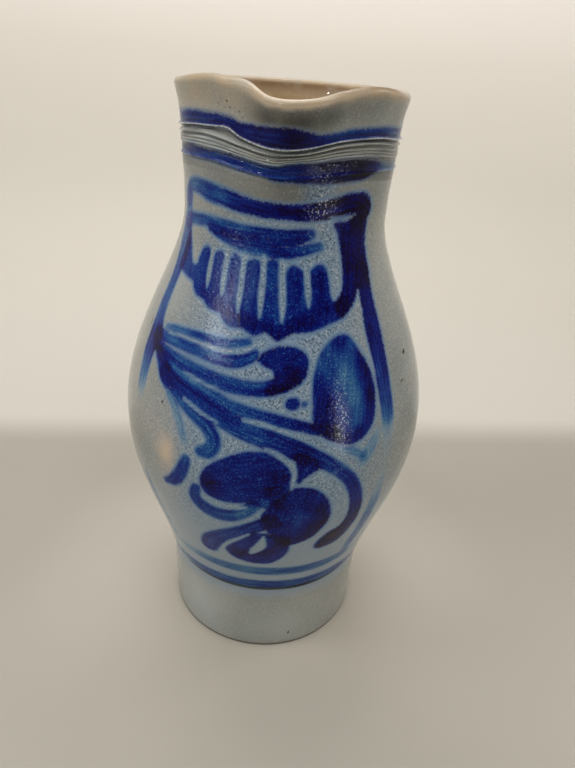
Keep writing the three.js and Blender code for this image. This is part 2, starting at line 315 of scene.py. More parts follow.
# The painted decoration. A point is azimuth in degrees, height in millimetres, half the
# brush's width in millimetres, and how heavily the cobalt lies there, from 0 to 1.
STROKES = {
    "band_above": [(-180, 273.5, 2.2, 0.5), (-120, 273.5, 2.2, 0.5), (-77, 273.5, 2.6, 0.55),
        (-66, 273.3, 2.5, 0.66), (-57, 273, 2.3, 0.72), (-49, 273.1, 2.2, 0.78), (-41, 273.8, 1.8, 0.76),
        (-35, 273.9, 2, 0.74), (-30, 273, 2.3, 0.76), (-25, 273.2, 2.8, 0.75), (-18, 273.9, 3.4, 0.85),
        (-10, 274.8, 4, 0.92), (-5, 274.7, 4, 0.95), (0.5, 274.1, 3.3, 0.9), (4.4, 273.4, 2.5, 0.85),
        (8, 272.9, 2, 0.75), (16, 272.6, 1.6, 0.6), (23, 272.8, 1.8, 0.6), (32, 272.6, 1.7, 0.6),
        (43, 272.9, 1.8, 0.6), (57, 273.6, 1.8, 0.55), (80, 273.5, 1.9, 0.45), (120, 273.5, 2.1, 0.5),
        (180, 273.5, 2.2, 0.5)],
    "band_below": [(-180, 261.1, 1.9, 0.5), (-77, 261.4, 2.1, 0.55), (-66, 260.7, 2, 0.6),
        (-52, 260.1, 1.7, 0.6), (-42, 260.3, 1.8, 0.6), (-31, 260.4, 2, 0.6), (-23, 260.7, 2, 0.6),
        (-16, 260.9, 2, 0.65), (-10, 260.6, 2.7, 0.7), (-4, 261.1, 3.3, 0.75), (1.4, 260.8, 3.6, 0.85),
        (11.5, 259.8, 3.8, 0.92), (18.6, 259.5, 3.9, 0.95), (25, 259.4, 3.7, 0.98), (32.6, 259.3, 3.5, 1),
        (38, 259.8, 2.8, 0.9), (44, 260.2, 1.7, 0.7), (50, 260.3, 1, 0.4), (60, 260.6, 1.3, 0.35),
        (90, 261, 1.7, 0.45), (180, 261.1, 1.9, 0.5)],
    "top_stripe": [(-70, 242.5, 3, 0.35), (-69, 246.8, 2.6, 0.4), (-63, 248.3, 2.5, 0.45),
        (-55, 247.8, 2.8, 0.5), (-50, 247.3, 3.1, 0.55), (-40, 246.9, 3.2, 0.55), (-30, 246.2, 3.1, 0.72),
        (-20, 245.6, 3, 0.84), (-10, 245.3, 3.1, 0.92), (0, 245.2, 3.2, 0.92), (10, 245.4, 3.4, 0.96),
        (20, 246.1, 3.6, 0.98), (30, 247.1, 3.8, 0.97), (37, 246.9, 3.8, 1), (40.5, 245, 3.4, 1)],
    "left_border": [(-70, 245, 3.3, 0.3), (-70.5, 236, 4, 0.35), (-69.5, 229, 5, 0.45),
        (-67, 220, 4.5, 0.5), (-66.2, 210, 3.3, 0.5), (-66.2, 200, 3.3, 0.5), (-65.3, 190, 4, 0.55),
        (-63.5, 183, 5.5, 0.8), (-64, 175, 4.6, 0.6), (-63.3, 168, 4, 0.4), (-62.8, 160, 3.6, 0.22),
        (-62.5, 153, 3, 0.05)],
    "left_border_end": [(-60, 116, 1.5, 0.05), (-59, 108, 2.2, 0.26), (-57.5, 95, 2.4, 0.36),
        (-56, 82, 2.2, 0.36), (-54.5, 72, 2, 0.25)],
    "right_border": [(38, 222, 3, 0.6), (38, 215, 3.8, 0.88), (38, 205, 4.1, 0.9), (38.3, 195, 4.6, 0.85),
        (38.6, 185, 4.3, 0.78), (38.8, 175, 4.2, 0.7), (39, 165, 4, 0.6), (39.2, 158, 3.8, 0.45),
        (39.2, 152, 3.4, 0.18), (39, 143, 3, 0.08), (38.6, 132, 3, 0.06), (38.3, 122, 3, 0.12),
        (38.3, 112, 3.6, 0.24), (38.5, 102, 3.8, 0.38), (38.4, 92, 4, 0.44), (37.4, 82, 3.8, 0.44),
        (36.4, 74, 3.2, 0.34), (35.4, 67, 2.4, 0.15)],
    "upper_bar": [(-70, 232.5, 2.5, 0.45), (-64, 234.8, 2.4, 0.5), (-58, 235.6, 2.1, 0.5),
        (-50, 236.2, 2.2, 0.55), (-40, 235.6, 2.8, 0.52), (-30, 235.4, 2.8, 0.5), (-20, 235.4, 2.6, 0.58),
        (-10, 235.4, 2.6, 0.72), (0, 235.6, 2.6, 0.8), (5, 235.9, 2.5, 0.76), (7.8, 236.4, 2.1, 0.6)],
    "lower_bar": [(-44, 232.8, 0.8, 0.4), (-36, 231.2, 1.6, 0.45), (-28, 230, 2.1, 0.5),
        (-20, 229.2, 2.3, 0.55), (-12, 228.8, 2.3, 0.62), (-5, 228.8, 2.3, 0.72), (2, 229.3, 2.1, 0.72),
        (8, 230.4, 1.9, 0.66), (13, 231.5, 1.5, 0.55)],
    "bar_wash": [(-46, 234, 1.6, 0.42), (-36, 233.2, 2, 0.42), (-24, 232.4, 2.2, 0.42),
        (-12, 232.2, 1.8, 0.45), (-2, 232.6, 1.3, 0.45), (4, 233.2, 0.8, 0.35)],
    "leaf_1": [(-57, 189.6, 0.6, 0.35), (-50, 190.6, 1.3, 0.45), (-40, 191.4, 1.6, 0.5),
        (-30, 191.5, 1.7, 0.54), (-22, 192.1, 1.7, 0.56), (-16.5, 193.6, 1.3, 0.52)],
    "leaf_2": [(-61, 185, 2, 0.6), (-55, 185.5, 2.2, 0.52), (-48, 186, 2.4, 0.5), (-40, 186, 2.3, 0.52),
        (-30, 185.3, 2.4, 0.55), (-22, 185.4, 2.6, 0.64), (-16.5, 187.2, 2.6, 0.68),
        (-13.6, 189, 1.9, 0.62)],
    "leaf_4": [(-60, 181.3, 1.8, 0.6), (-52, 180.6, 1.7, 0.52), (-45, 179.9, 2, 0.52),
        (-38, 178.7, 2.4, 0.52), (-30, 177.3, 2.7, 0.58), (-20, 175.8, 3, 0.64), (-12, 175.8, 2.9, 0.68),
        (-5, 177.6, 3.2, 0.72), (0, 181, 4, 0.7)],
    "dot": [(0.6, 170.8, 2.1, 0.78), (1.7, 170.9, 2.2, 0.78)],
    "dot_tail": [(5, 170.6, 0.8, 0.62), (5.5, 170.6, 0.8, 0.62)],
    "stem_upper": [(-60, 180, 2, 0.6), (-54, 177.8, 2.3, 0.58), (-47, 175.8, 2.4, 0.55),
        (-40, 173.8, 2.6, 0.5), (-30, 171, 2.8, 0.5), (-20, 167.6, 2.6, 0.52), (-10, 165.4, 2.5, 0.62),
        (-3, 163.6, 2.4, 0.72), (4, 161.4, 2.2, 0.82), (10, 159.3, 2.2, 0.88), (15, 158, 2.5, 0.9)],
    "stem_wash": [(-44, 171, 2, 0.4), (-34, 168.2, 2.6, 0.42), (-24, 165, 2.4, 0.42),
        (-17, 162.2, 1.6, 0.4)],
    "stem": [(-50, 172.5, 2.6, 0.55), (-44, 169.6, 2.9, 0.55), (-38, 167.2, 3, 0.5),
        (-30, 164.2, 3.3, 0.5), (-22, 161.2, 3.6, 0.55), (-15, 158.4, 4, 0.6), (-9, 156, 4.3, 0.65),
        (-4, 154.2, 4.5, 0.75), (1, 151.8, 4.6, 0.82), (6, 148.8, 4.3, 0.82), (10.5, 146, 3.6, 0.76),
        (15, 142.2, 3.2, 0.7), (19.5, 137.2, 3.1, 0.7), (23.2, 131.2, 3.2, 0.72),
        (25.9, 124.5, 3.4, 0.78), (27.6, 117, 3.5, 0.84), (28.3, 109, 3.6, 0.9), (27.8, 102, 4, 0.94),
        (25.6, 96.5, 5, 0.98), (22.4, 92.2, 6.4, 1), (18.4, 88.4, 3.8, 0.95)],
    "curl": [(-44, 167, 1.5, 0.4), (-38, 163, 2.2, 0.45), (-32, 159.4, 2.6, 0.5),
        (-27.4, 156.4, 3.1, 0.52), (-24.8, 152.2, 3.4, 0.54), (-24.6, 148.2, 3.4, 0.54),
        (-26.4, 145, 3.2, 0.54), (-29, 144.2, 2.3, 0.5)],
    "stem_root": [(-57, 178.5, 2, 0.55), (-53, 175.2, 3, 0.66), (-49.5, 171.2, 3.6, 0.68),
        (-47, 168, 2.4, 0.6)],
    "faint_leaf": [(-45, 164, 1.6, 0.25), (-41, 159.5, 1.8, 0.22), (-38, 154, 2, 0.22),
        (-36, 148.5, 1.8, 0.2), (-35, 144, 1.2, 0.1)],
    "comma": [(-34.4, 137.5, 2.2, 0.52), (-35.5, 133, 2.9, 0.62), (-37.5, 127.2, 3.1, 0.68),
        (-40.5, 121.9, 2.6, 0.7), (-44.4, 118.7, 1.3, 0.62)],
    "petal_left": [(-30.5, 123.5, 2.2, 0.58), (-31.4, 118.5, 3.1, 0.6), (-29.2, 114, 3.6, 0.62),
        (-25, 111.2, 4, 0.66), (-20.8, 110.8, 3.9, 0.66), (-16.6, 112.2, 3.5, 0.6),
        (-12.8, 116, 3.3, 0.58), (-9.8, 120.5, 3.2, 0.62)],
    "petal_low": [(-4, 110, 4.2, 0.82), (-10, 105, 3.8, 0.72), (-16, 99.5, 4, 0.68),
        (-22, 93.5, 4.5, 0.7), (-27, 87.5, 5.3, 0.74), (-29.6, 81.5, 4.8, 0.72)],
    "teal_right": [(33.5, 152, 2, 0.15), (31, 147, 2.6, 0.22), (28.3, 142, 2.6, 0.25),
        (27, 139, 1.6, 0.15)],
    "teal_left": [(20, 148.3, 1.2, 0.2), (23.5, 146.8, 1.8, 0.28), (27, 143.5, 2, 0.25)],
    "ring_upper": [(-66, 66.6, 1.6, 0.05), (-45, 66.3, 2.6, 0.2), (-35, 66.2, 2.9, 0.28),
        (-20, 66.1, 3.1, 0.34), (-5, 66, 3.2, 0.38), (10, 66, 3.2, 0.44), (22, 66.2, 3.1, 0.4),
        (32, 66.6, 2.8, 0.3), (44, 67, 2.2, 0.12), (52, 67.2, 1.6, 0.04)],
    "ring_lower": [(-180, 52.2, 2.4, 0.3), (-90, 52.2, 2.4, 0.3), (-55, 52.2, 2.4, 0.36),
        (-35, 52.4, 2.7, 0.42), (-10, 52.5, 3.2, 0.5), (15, 52.5, 3.3, 0.56), (45, 52.4, 3.2, 0.52),
        (90, 52.2, 2.4, 0.3), (180, 52.2, 2.4, 0.3)],
}

# Areas filled with the brush: how heavily the cobalt lies, how far the brush leaned from
# upright in degrees, and the outline
AREAS = {
    "corner_block": (0.92, 0, [(19.8, 240.6), (26, 241.2), (31, 242.6), (36, 245.6), (41, 247),
        (42.3, 243), (42.5, 230), (42.6, 214), (35.4, 213.4), (33.2, 212.2), (30.5, 208.8), (26.5, 205.4),
        (22, 203), (19.5, 208), (22.2, 211.6), (24.4, 216), (25.1, 222), (24.5, 229), (22.4, 236)]),
    "swag": (0.66, 4, [(-66, 214.6), (-60, 212.4), (-55.5, 211.2), (-50.5, 210.6), (-48.6, 208.2),
        (-45.6, 206.2), (-41, 205.4), (-38.6, 203.8), (-35.5, 202.6), (-30.8, 202.2), (-28.6, 199.6),
        (-25, 197.6), (-20.5, 198.2), (-17.6, 196.8), (-14.4, 196), (-10.6, 197.6), (-8.2, 196.4),
        (-5, 194.8), (-2.2, 196.2), (1, 197.8), (6, 198.2), (11, 199.2), (16, 200.8), (21, 202.4),
        (26, 205.2), (28, 209), (24, 212.6), (21, 210.6), (19, 210.2), (18, 213), (17.9, 218),
        (17, 222.2), (15, 224.4), (12, 224.6), (9, 223), (6.6, 221), (4.4, 222.6), (1.6, 224.2),
        (-1.4, 223.6), (-4.6, 220.6), (-6.4, 224), (-9, 226), (-12, 225.4), (-14, 222.6), (-16, 224.8),
        (-19, 225.6), (-21.8, 224.4), (-24, 221.6), (-26, 225), (-28.6, 226.4), (-31.4, 225.4),
        (-33, 221.8), (-34.8, 225), (-37.4, 226.2), (-40.4, 225), (-42.4, 221.6), (-44, 225.2),
        (-46.6, 226.6), (-49.6, 225.4), (-51, 221.4), (-51.6, 218), (-54.5, 218), (-57.5, 221),
        (-60.5, 225.6), (-65, 229)]),
    "leaf_end": (0.84, 62, [(-12.6, 186.8), (-11.6, 189.2), (-9, 191.6), (-5, 193.2), (0, 193.8),
        (4, 192.4), (6.6, 189.6), (7, 186), (6.2, 182.4), (4, 178.8), (0, 176.2), (-4, 174.6), (-8, 174),
        (-7.4, 179), (-6, 181.4), (-6.5, 183.4), (-9, 184.6)]),
    "fork": (0.88, 30, [(2.6, 149), (3.2, 143), (2.8, 139), (2.2, 136.4), (4.5, 133.8), (6.2, 136),
        (9.6, 139.4), (11.5, 141.6), (10, 146), (6, 149)]),
    "petal_top": (0.78, 74, [(2.2, 130.5), (2.6, 135), (1.8, 139.5), (0, 144), (-4, 148), (-8, 150),
        (-13, 149.3), (-17, 147), (-21, 143.8), (-25, 139.8), (-28, 134.5), (-29, 129.5), (-28.5, 125),
        (-26, 121.5), (-21, 119.8), (-16, 120.3), (-11, 121.5), (-6, 119), (-2, 122)]),
    "petal_right": (0.84, 12, [(2.2, 131), (5, 132), (8.5, 131.5), (12, 129), (15, 124.8), (17, 119),
        (17.8, 113), (17.3, 107), (15.3, 101), (12, 96), (8, 92.6), (4, 91.3), (0, 93), (-4, 100),
        (-7, 108), (-7, 116), (-3, 124)]),
    "petal_bottom": (0.78, 50, [(-3, 101), (-9, 101), (-13, 97.5), (-17, 93.3), (-20.5, 88), (-22, 83),
        (-21, 79), (-18, 76), (-13.5, 74), (-8, 73.4), (-3, 74), (0.5, 77), (3.2, 81.5), (4.5, 86),
        (4.2, 91), (3, 96)]),
    "bud": (0.58, 4, [(20, 197), (15, 195), (12, 191.5), (10, 187.5), (8.5, 182), (8, 176), (8, 170),
        (7.7, 165), (8.5, 161), (12, 155.5), (16, 153), (20, 150.5), (24, 150.3), (28, 152.5),
        (31, 156.5), (33, 162), (33.8, 170), (33.3, 178), (31.5, 184), (29, 189), (27, 193.5),
        (24, 196.5)]),
}

# Places where wet colour gathered
POOLS = {
    "bud_left": [(12, 180, 2.6, 0.35), (12.4, 172, 4, 0.55), (13, 163, 4.8, 0.66), (15, 156.5, 4, 0.6)],
    "bud_right": [(28.6, 188, 2, 0.55), (30.6, 180, 2.6, 0.7), (31, 171, 2.8, 0.7),
        (30.4, 162, 2.8, 0.55), (27, 155, 2.6, 0.45)],
    "bud_top": [(20, 193.5, 3, 0.5), (20.5, 191, 2.5, 0.3)],
    "bud_foot": [(18, 158, 3, 0.4), (19, 153.5, 3.2, 0.6), (26, 154.5, 2.6, 0.5)],
    "block": [(33, 243, 5, 0.6), (33.5, 225, 5, 0.6)],
    "swag_low": [(-40, 208, 2, 0.35), (-27, 203, 2.2, 0.45), (-15, 200.5, 3, 0.55), (-4, 198, 3.4, 0.7),
        (6, 202.5, 3.6, 0.6), (16, 206, 3.2, 0.5)],
    "finger_last": [(12.6, 219, 2.6, 0.5), (13, 210, 2.8, 0.45)],
    "finger_sixth": [(1, 218, 2, 0.35), (1.4, 209, 2.4, 0.35)],
    "stripe_right": [(12, 246.2, 2.6, 0.4), (24, 246.8, 3, 0.6), (38, 246, 3.4, 0.7)],
    "petal_top_a": [(-26, 130, 3.5, 0.5), (-22, 127, 3.5, 0.4)],
    "petal_top_b": [(-2, 137, 3.5, 0.55), (-3, 129, 4, 0.55), (1, 121, 4, 0.5)],
    "petal_right": [(14, 118, 3, 0.55), (14.5, 109, 3.4, 0.6), (10, 99, 3.4, 0.55)],
    "petal_bottom": [(-17, 82, 3, 0.5), (-2, 86, 3, 0.55), (1, 96, 3.4, 0.6)],
    "stem_foot": [(25, 99, 3, 0.6), (21, 92, 3, 0.6)],
    "root": [(-62, 184, 3, 0.5), (-57, 178, 2.4, 0.3)],
}

# Places where the brush left less of it
WIPES = {
    "bud_middle": [(20, 188, 2.4, 0.24), (21.5, 180, 3.4, 0.38), (24, 171, 3.6, 0.38),
        (25, 162, 2.4, 0.16)],
    "bud_left_edge": [(10.8, 187, 1.2, 0.15), (12.6, 184, 1.4, 0.2), (15, 176, 1, 0.1)],
    "petal_right": [(3, 122, 3, 0.12), (6, 113, 3.6, 0.16), (4, 103, 3, 0.12)],
    "petal_cross": [(-14, 112, 2, 0.35), (-6, 122, 1.6, 0.3)],
}

# Bare clay left between wet strokes: azimuth, height and half width
RESERVES = {
    "gap_1": [(-42.6, 226, 0.8), (-42.2, 219, 1.1), (-41.6, 214.5, 1), (-40.8, 210.5, 0.3)],
    "gap_2": [(-33.4, 226, 0.9), (-33.2, 219, 1.1), (-32.6, 213.5, 1.1), (-32, 209, 0.3)],
    "gap_3": [(-24.2, 226, 0.9), (-23.8, 217, 1.1), (-23.4, 209, 1), (-23, 204, 0.3)],
    "gap_4": [(-14.2, 226, 1), (-13.8, 217, 1.2), (-13.6, 209, 1.1), (-13.4, 203.6, 0.4)],
    "gap_5": [(-5.2, 225, 1.1), (-4.6, 217, 1.2), (-4, 209, 1.2), (-4, 202.6, 0.4)],
    "gap_6": [(6.4, 225, 1.2), (7, 218, 1.2), (7.3, 212.5, 1), (7.4, 208, 0.3)],
    "leaf_gap_upper": [(-54.5, 187.6, 0.3), (-47, 188.9, 0.5), (-38.8, 189.1, 0.6), (-31.6, 188.7, 0.7),
        (-25.1, 188.6, 0.8), (-19.2, 189.6, 0.8), (-15.5, 191.2, 0.7)],
    "leaf_gap_lower": [(-40.5, 176.1, 0.2), (-36.5, 175.2, 0.4), (-32.8, 174.4, 0.5), (-28.8, 173.6, 0.5),
        (-25.2, 172.9, 0.4)],
    "block_notch": [(32.4, 204, 1.2), (32.6, 208.5, 0.7), (33.2, 212.6, 0.2)],
    "block_top": [(18.5, 242.6, 0.5), (24, 242.6, 0.4), (29, 243, 0.2)],
    "between_stems": [(-15, 162.7, 0.5), (-8, 161.8, 0.8), (0, 158.5, 0.8), (7, 156, 0.7),
        (10, 152.7, 0.6), (15, 149.5, 0.5)],
    "under_stem": [(-38, 165, 0.4), (-31, 162, 0.6), (-24, 159.5, 0.3)],
    "above_petal": [(-7, 151, 0.5), (-3, 149, 0.8), (0.3, 145.8, 1), (2.4, 142, 1.1), (2.8, 138, 1.1),
        (2.4, 134, 0.8), (2.2, 131, 0.4)],
    "under_petal": [(-26, 119.6, 0.6), (-21, 117.6, 1.2), (-16, 117.4, 1.1), (-12.5, 118.6, 0.5)],
    "petal_gap": [(-24.5, 79, 1.2), (-22, 86, 1.1), (-18, 91.8, 0.9), (-14.5, 96, 0.7),
        (-11.5, 99.5, 0.5)],
}

# The bare hole in the lowest petal
PETAL_HOLE = [(-6, 99), (-5, 93.5), (-5.5, 88.5), (-8, 84.8), (-11.3, 82), (-11.3, 86), (-9.2, 91),
    (-7.3, 96)]

# Soft oval patches: azimuth, height, half width and half height in millimetres, and strength.
# Warm, less reduced patches of the body
WARM_PATCHES = [(-43.8, 137, 6.6, 9, 1.1), (-44, 130, 10, 15, 0.4), (-47, 150, 12, 22, 0.22),
    (-75, 160, 26, 60, 0.16), (-60, 282, 30, 9, 0.55), (-35, 283, 20, 7, 0.45), (150, 120, 60, 70, 0.14),
    (95, 60, 40, 30, 0.12)]
# Painted shade: darker patches under the spout's outward-leaning front and across the neck's front
PAINTED_SHADE_PATCHES = [(-14, 281.6, 9, 5.6, 0.8), (-2, 281, 13, 5.7, 0.86), (10, 281, 10, 5.5, 0.72),
    (26, 281, 14, 7, 0.35), (-8, 252.5, 36, 6.5, 0.42)]
# More pitted places above the thick glaze: beside the spout's middle and on its lip
PEELED = [(11, 252, 8, 10, 1), (20, 236, 8, 10, 1), (0, 287, 12, 2.6, 0.8)]
# Painted highlight: bright sparkles of glint on the bud and on the neck above it
PAINTED_SPARKLES = [(18.6, 161, 3.6, 15, 1), (13, 250, 5, 10, 1), (17, 262, 9, 3.5, 0.6)]
# Paler patches, partly painted highlight: low on the left of the foot, where the light falls, at the neck
# bands' left end, and elsewhere
PALE_AND_HIGHLIGHT_PATCHES = [(-48, 22, 24, 26, 0.75), (-62, 205, 14, 14, 0.35), (2, 18, 26, 16, 0.4),
    (-43.5, 138, 4, 5, 0.5), (-52, 266, 16, 4, 0.8)]
# Small iron specks
SPECKS = [(12, 9.5, 0.6, 0.6, 1), (-47.5, 159, 0.7, 0.8, 0.9), (50, 169.3, 1.1, 0.45, 0.9),
    (53.5, 170, 1.5, 0.4, 0.8), (55, 166.5, 1, 0.4, 0.7), (-35, 263, 0.6, 0.5, 0.9),
    (-71, 186, 0.5, 2.5, 0.7), (-67, 168, 0.6, 0.7, 0.8), (62, 240, 0.5, 0.5, 0.8),
    (-30, 96, 0.5, 0.5, 0.6), (120, 150, 0.8, 0.7, 0.8), (-130, 190, 0.7, 0.8, 0.8),
    (170, 60, 0.9, 0.6, 0.7), (-155, 98, 0.6, 0.9, 0.7), (88, 205, 0.7, 0.5, 0.7),
    (-62, 290, 0.8, 0.8, 0.9), (-40, 279, 1.6, 0.5, 0.6), (-33, 278.3, 1.2, 0.5, 0.6),
    (21, 287.5, 0.8, 0.6, 0.8), (45, 272, 0.6, 0.5, 0.7), (4, 284, 0.5, 0.4, 0.6),
    (57, 180.5, 0.35, 1.5, 0.8), (58, 178, 0.4, 1.6, 0.8), (59.4, 175, 0.4, 1.8, 0.7),
    (61, 171.6, 0.4, 2, 0.6), (-38, 281.5, 0.9, 0.4, 0.7), (-30, 279.6, 0.7, 0.35, 0.6),
    (-42.5, 281.2, 0.6, 0.35, 0.7), (-36, 279.6, 0.6, 0.4, 0.7), (-34.4, 281.2, 0.5, 0.3, 0.6),
    (-44.6, 279.6, 0.5, 0.3, 0.6), (-28, 277.8, 0.5, 0.3, 0.6), (24, 283, 0.5, 0.4, 0.6)]

# How far a point with no paint near it is taken to lie from a mark's edge
OUTSIDE = -12.0

# Marks are numbered from 1, filled areas from here on
FIRST_AREA = 60.0

# How far the cobalt ran past the brush, in millimetres
BLEED = 0.45

# How far from a mark it is still worked out, in millimetres, and the least width of a degree
MARK_REACH = 10.0
AREA_REACH = 8.0
BARE_REACH = 6.0
NARROWEST_DEGREE = 0.8

# Signed distances over which a mark's edge goes from nothing to full, in millimetres
BRUSH_EDGE = (-1.6, 0.8)
POOL_EDGE = (-3.0, 2.0)
WIPE_EDGE = (-2.5, 2.0)
BARE_EDGE = (-0.6, 0.8)

# How far one full mark hides the clay, and how weak a mark is that keeps no brush's way
FULL_COVER = 0.93
WEAKEST = 0.12


def spline(points, per_span=6, closed=False):
    """A smooth line through given points."""
    p = np.array(points, float)
    if closed:
        p = np.vstack([p[-1:], p, p[:2]])
    else:
        p = np.vstack([2 * p[0] - p[1], p, 2 * p[-1] - p[-2]])
    t = np.linspace(0.0, 1.0, per_span, endpoint=False)[:, None]
    spans = []
    for a, b, c, d in zip(p[:-3], p[1:-2], p[2:-1], p[3:]):
        spans.append(
            0.5 * (2 * b + (c - a) * t + (2 * a - 5 * b + 4 * c - d) * t**2)
            + 0.5 * (3 * b - a - 3 * c + d) * t**3
        )
    if not closed:
        spans.append(p[-2:-1])
    return np.vstack(spans)


class Paint:
    """The cobalt on a set of wall points, laid mark by mark."""

    def __init__(self, azimuth, height, radius):
        self.azimuth = azimuth
        self.height = height
        self.per_degree = np.radians(1.0) * radius
        self.edge = np.full(azimuth.shape, OUTSIDE)
        self.bare = np.ones(azimuth.shape)
        self.along, self.across, self.seed = np.zeros((3, len(azimuth)))

    def near(self, line, reach):
        """The wall points that a line can touch."""
        low = line[:, :2].min(axis=0)
        high = line[:, :2].max(axis=0)
        side = reach / NARROWEST_DEGREE
        return np.flatnonzero(
            (self.azimuth > low[0] - side)
            & (self.azimuth < high[0] + side)
            & (self.height > low[1] - reach)
            & (self.height < high[1] + reach)
        )

    def from_span(self, where, a, b):
        """Share of the way along a straight span, distance from it, side of it, and its length."""
        ax = (a[0] - self.azimuth[where]) * self.per_degree[where]
        az = a[1] - self.height[where]
        ux = (b[0] - self.azimuth[where]) * self.per_degree[where] - ax
        uz = b[1] - self.height[where] - az
        length = np.sqrt(ux * ux + uz * uz) + 1e-6
        t = np.clip(-(ax * ux + az * uz) / (length * length), 0.0, 1.0)
        return t, np.hypot(ax + t * ux, az + t * uz), (ax * uz - az * ux) / length, length

    def to_line(self, points, reach=MARK_REACH):
        """Signed distance to a line of changing width, with the load and the brush's own axes."""
        line = spline(points)
        where = self.near(line, reach)
        best = np.zeros((4, len(where)))
        best[0] = -1e3
        run = 0.0
        for a, b in zip(line[:-1], line[1:]):
            t, away, side, length = self.from_span(where, a, b)
            width, load = (a[i] + (b[i] - a[i]) * t for i in (2, -1))
            found = np.stack([width - away, load, run + t * length, side])
            best = np.where(found[0] > best[0], found, best)
            run = run + length.mean()
        return where, best

    def to_area(self, points, reach):
        """Signed distance to a closed outline, positive inside."""
        line = spline(points, 4, True)
        where = self.near(line, reach)
        azimuth = self.azimuth[where]
        height = self.height[where]
        inside = np.zeros(where.shape, bool)
        away = np.full(where.shape, 1e3)
        for a, b in zip(line, np.roll(line, -1, axis=0)):
            crosses = (a[1] > height) != (b[1] > height)
            rise = b[1] - a[1] if abs(b[1] - a[1]) > 1e-9 else 1e-9
            inside ^= crosses & (azimuth < a[0] + (b[0] - a[0]) * (height - a[1]) / rise)
            away = np.minimum(away, self.from_span(where, a, b)[1])
        return where, np.where(inside, away, -away)

    def lay(self, where, signed, load, along, across, seed):
        cover = smooth(*BRUSH_EDGE, signed)
        self.bare[where] *= 1.0 - FULL_COVER * load * cover
        wins = (signed > self.edge[where]) & (cover * load > WEAKEST)
        self.edge[where] = np.maximum(self.edge[where], signed)
        self.along[where[wins]] = along[wins]
        self.across[where[wins]] = across[wins]
        self.seed[where[wins]] = seed

    def stroke(self, points, seed):
        where, (signed, load, along, across) = self.to_line(points)
        self.lay(where, signed + BLEED, load, along, across, seed)

    def area(self, load, lean, points, seed):
        where, signed = self.to_area(points, AREA_REACH)
        lean = math.radians(lean)
        level = self.height[where]
        side = self.azimuth[where] * self.per_degree[where]
        along = level * math.cos(lean) + side * math.sin(lean)
        across = side * math.cos(lean) - level * math.sin(lean)
        self.lay(where, signed, load, along, across, seed)

    def lighten(self, where, share):
        self.bare[where] += (1.0 - self.bare[where]) * share

    def pool(self, points):
        where, (signed, load, _, _) = self.to_line(points)
        self.bare[where] *= 1.0 - load * smooth(*POOL_EDGE, signed)

    def wipe(self, points):
        where, (signed, load, _, _) = self.to_line(points)
        self.lighten(where, load * smooth(*WIPE_EDGE, signed))

    def keep_bare(self, where, signed):
        self.edge[where] = np.minimum(self.edge[where], -signed)
        self.lighten(where, smooth(*BARE_EDGE, signed))

    def reserve(self, points):
        where, (signed, _, _, _) = self.to_line(points, BARE_REACH)
        self.keep_bare(where, signed)


def painted(azimuth, height, radius):
    """The decoration on wall points: edge distance, bareness, and the brush's axes."""
    paint = Paint(azimuth, height, radius)
    for i, points in enumerate(STROKES.values()):
        paint.stroke(points, i + 1.0)
    for i, (load, lean, points) in enumerate(AREAS.values()):
        paint.area(load, lean, points, FIRST_AREA + i)
    for work, marks in ((paint.pool, POOLS), (paint.wipe, WIPES), (paint.reserve, RESERVES)):
        for points in marks.values():
            work(points)
    paint.keep_bare(*paint.to_area(PETAL_HOLE, BARE_REACH))
    return paint


def spots(azimuth, height, per_degree, places):
    """How strong soft oval patches are on wall points."""
    total = np.zeros_like(azimuth)
    for at, level, wide, tall, strength in places:
        dx = (azimuth - at) * per_degree / wide
        dz = (height - level) / tall
        total = np.maximum(total, strength * np.exp(-(dx * dx + dz * dz)))
    return total


def foot_rows():
    """The underside and the foot's rounded edge, as radius and height."""
    rows = [(r, 0.0) for r in (9.0, 20.0, 31.0, 42.0, 50.0)]
    for turn in np.linspace(0.0, np.pi / 2, 5):
        rows.append((
            FOOT_BOTTOM_RADIUS - FOOT_EDGE * (1 - math.sin(turn)),
            FOOT_EDGE * (1 - math.cos(turn)),
        ))
    return rows


# Heights of the outside's rows: the lowest, the highest and how many, close where lines are fine
OUTSIDE_SPANS = [
    (2.5, 42.5, 13), (43.4, 50.6, 25), (51.6, 69.0, 17), (70.0, 251.5, 178), (252.5, 257.3, 6),
    (257.7, 260.5, 9), (260.9, 273.4, 60), (274.2, RIM_HEIGHT - LIP_RADIUS, 15),
]


def lip_rows():
    """The rounded lip, from its outer side over the top."""
    turns = [math.pi * (i + 1) / LIP_ROWS for i in range(LIP_ROWS)]
    side = RIM_RADIUS - LIP_RADIUS
    top = RIM_HEIGHT - LIP_RADIUS
    return [(side + LIP_RADIUS * math.cos(t), top + LIP_RADIUS * math.sin(t)) for t in turns]


def inner_rows():
    """The inside, from under the lip down to near the middle of the floor."""
    inside_foot = FOOT_BOTTOM_RADIUS - FOOT_WALL
    rows = [
        (RIM_FOOT_RADIUS - WALL + 1.2, RIM_HEIGHT - 7.0),
        (RIM_FOOT_RADIUS - WALL + 0.4, BAND_TOP + 5.5),
        (RIM_FOOT_RADIUS - WALL, BAND_TOP),
        (NECK_RADIUS - WALL + 0.9, BAND_TOP - 6.0),
        (NECK_RADIUS - WALL + 0.5, BEAD_HEIGHT - 1.0),
        (NECK_RADIUS - WALL + 0.2, BEAD_HEIGHT - 9.0),
        *belly_curve(WALL)[::-4],
        (inside_foot + 2.4, STEP_TOP - 6.0),
    ]
    for turn in np.linspace(0.0, np.pi / 2, 7):
        rows.append((
            inside_foot - FLOOR_FILLET * (1 - math.cos(turn)),
            FLOOR_THICKNESS + FLOOR_FILLET * (1 - math.sin(turn)),
        ))
    return rows + [(22.0, FLOOR_THICKNESS), (10.0, FLOOR_THICKNESS)]


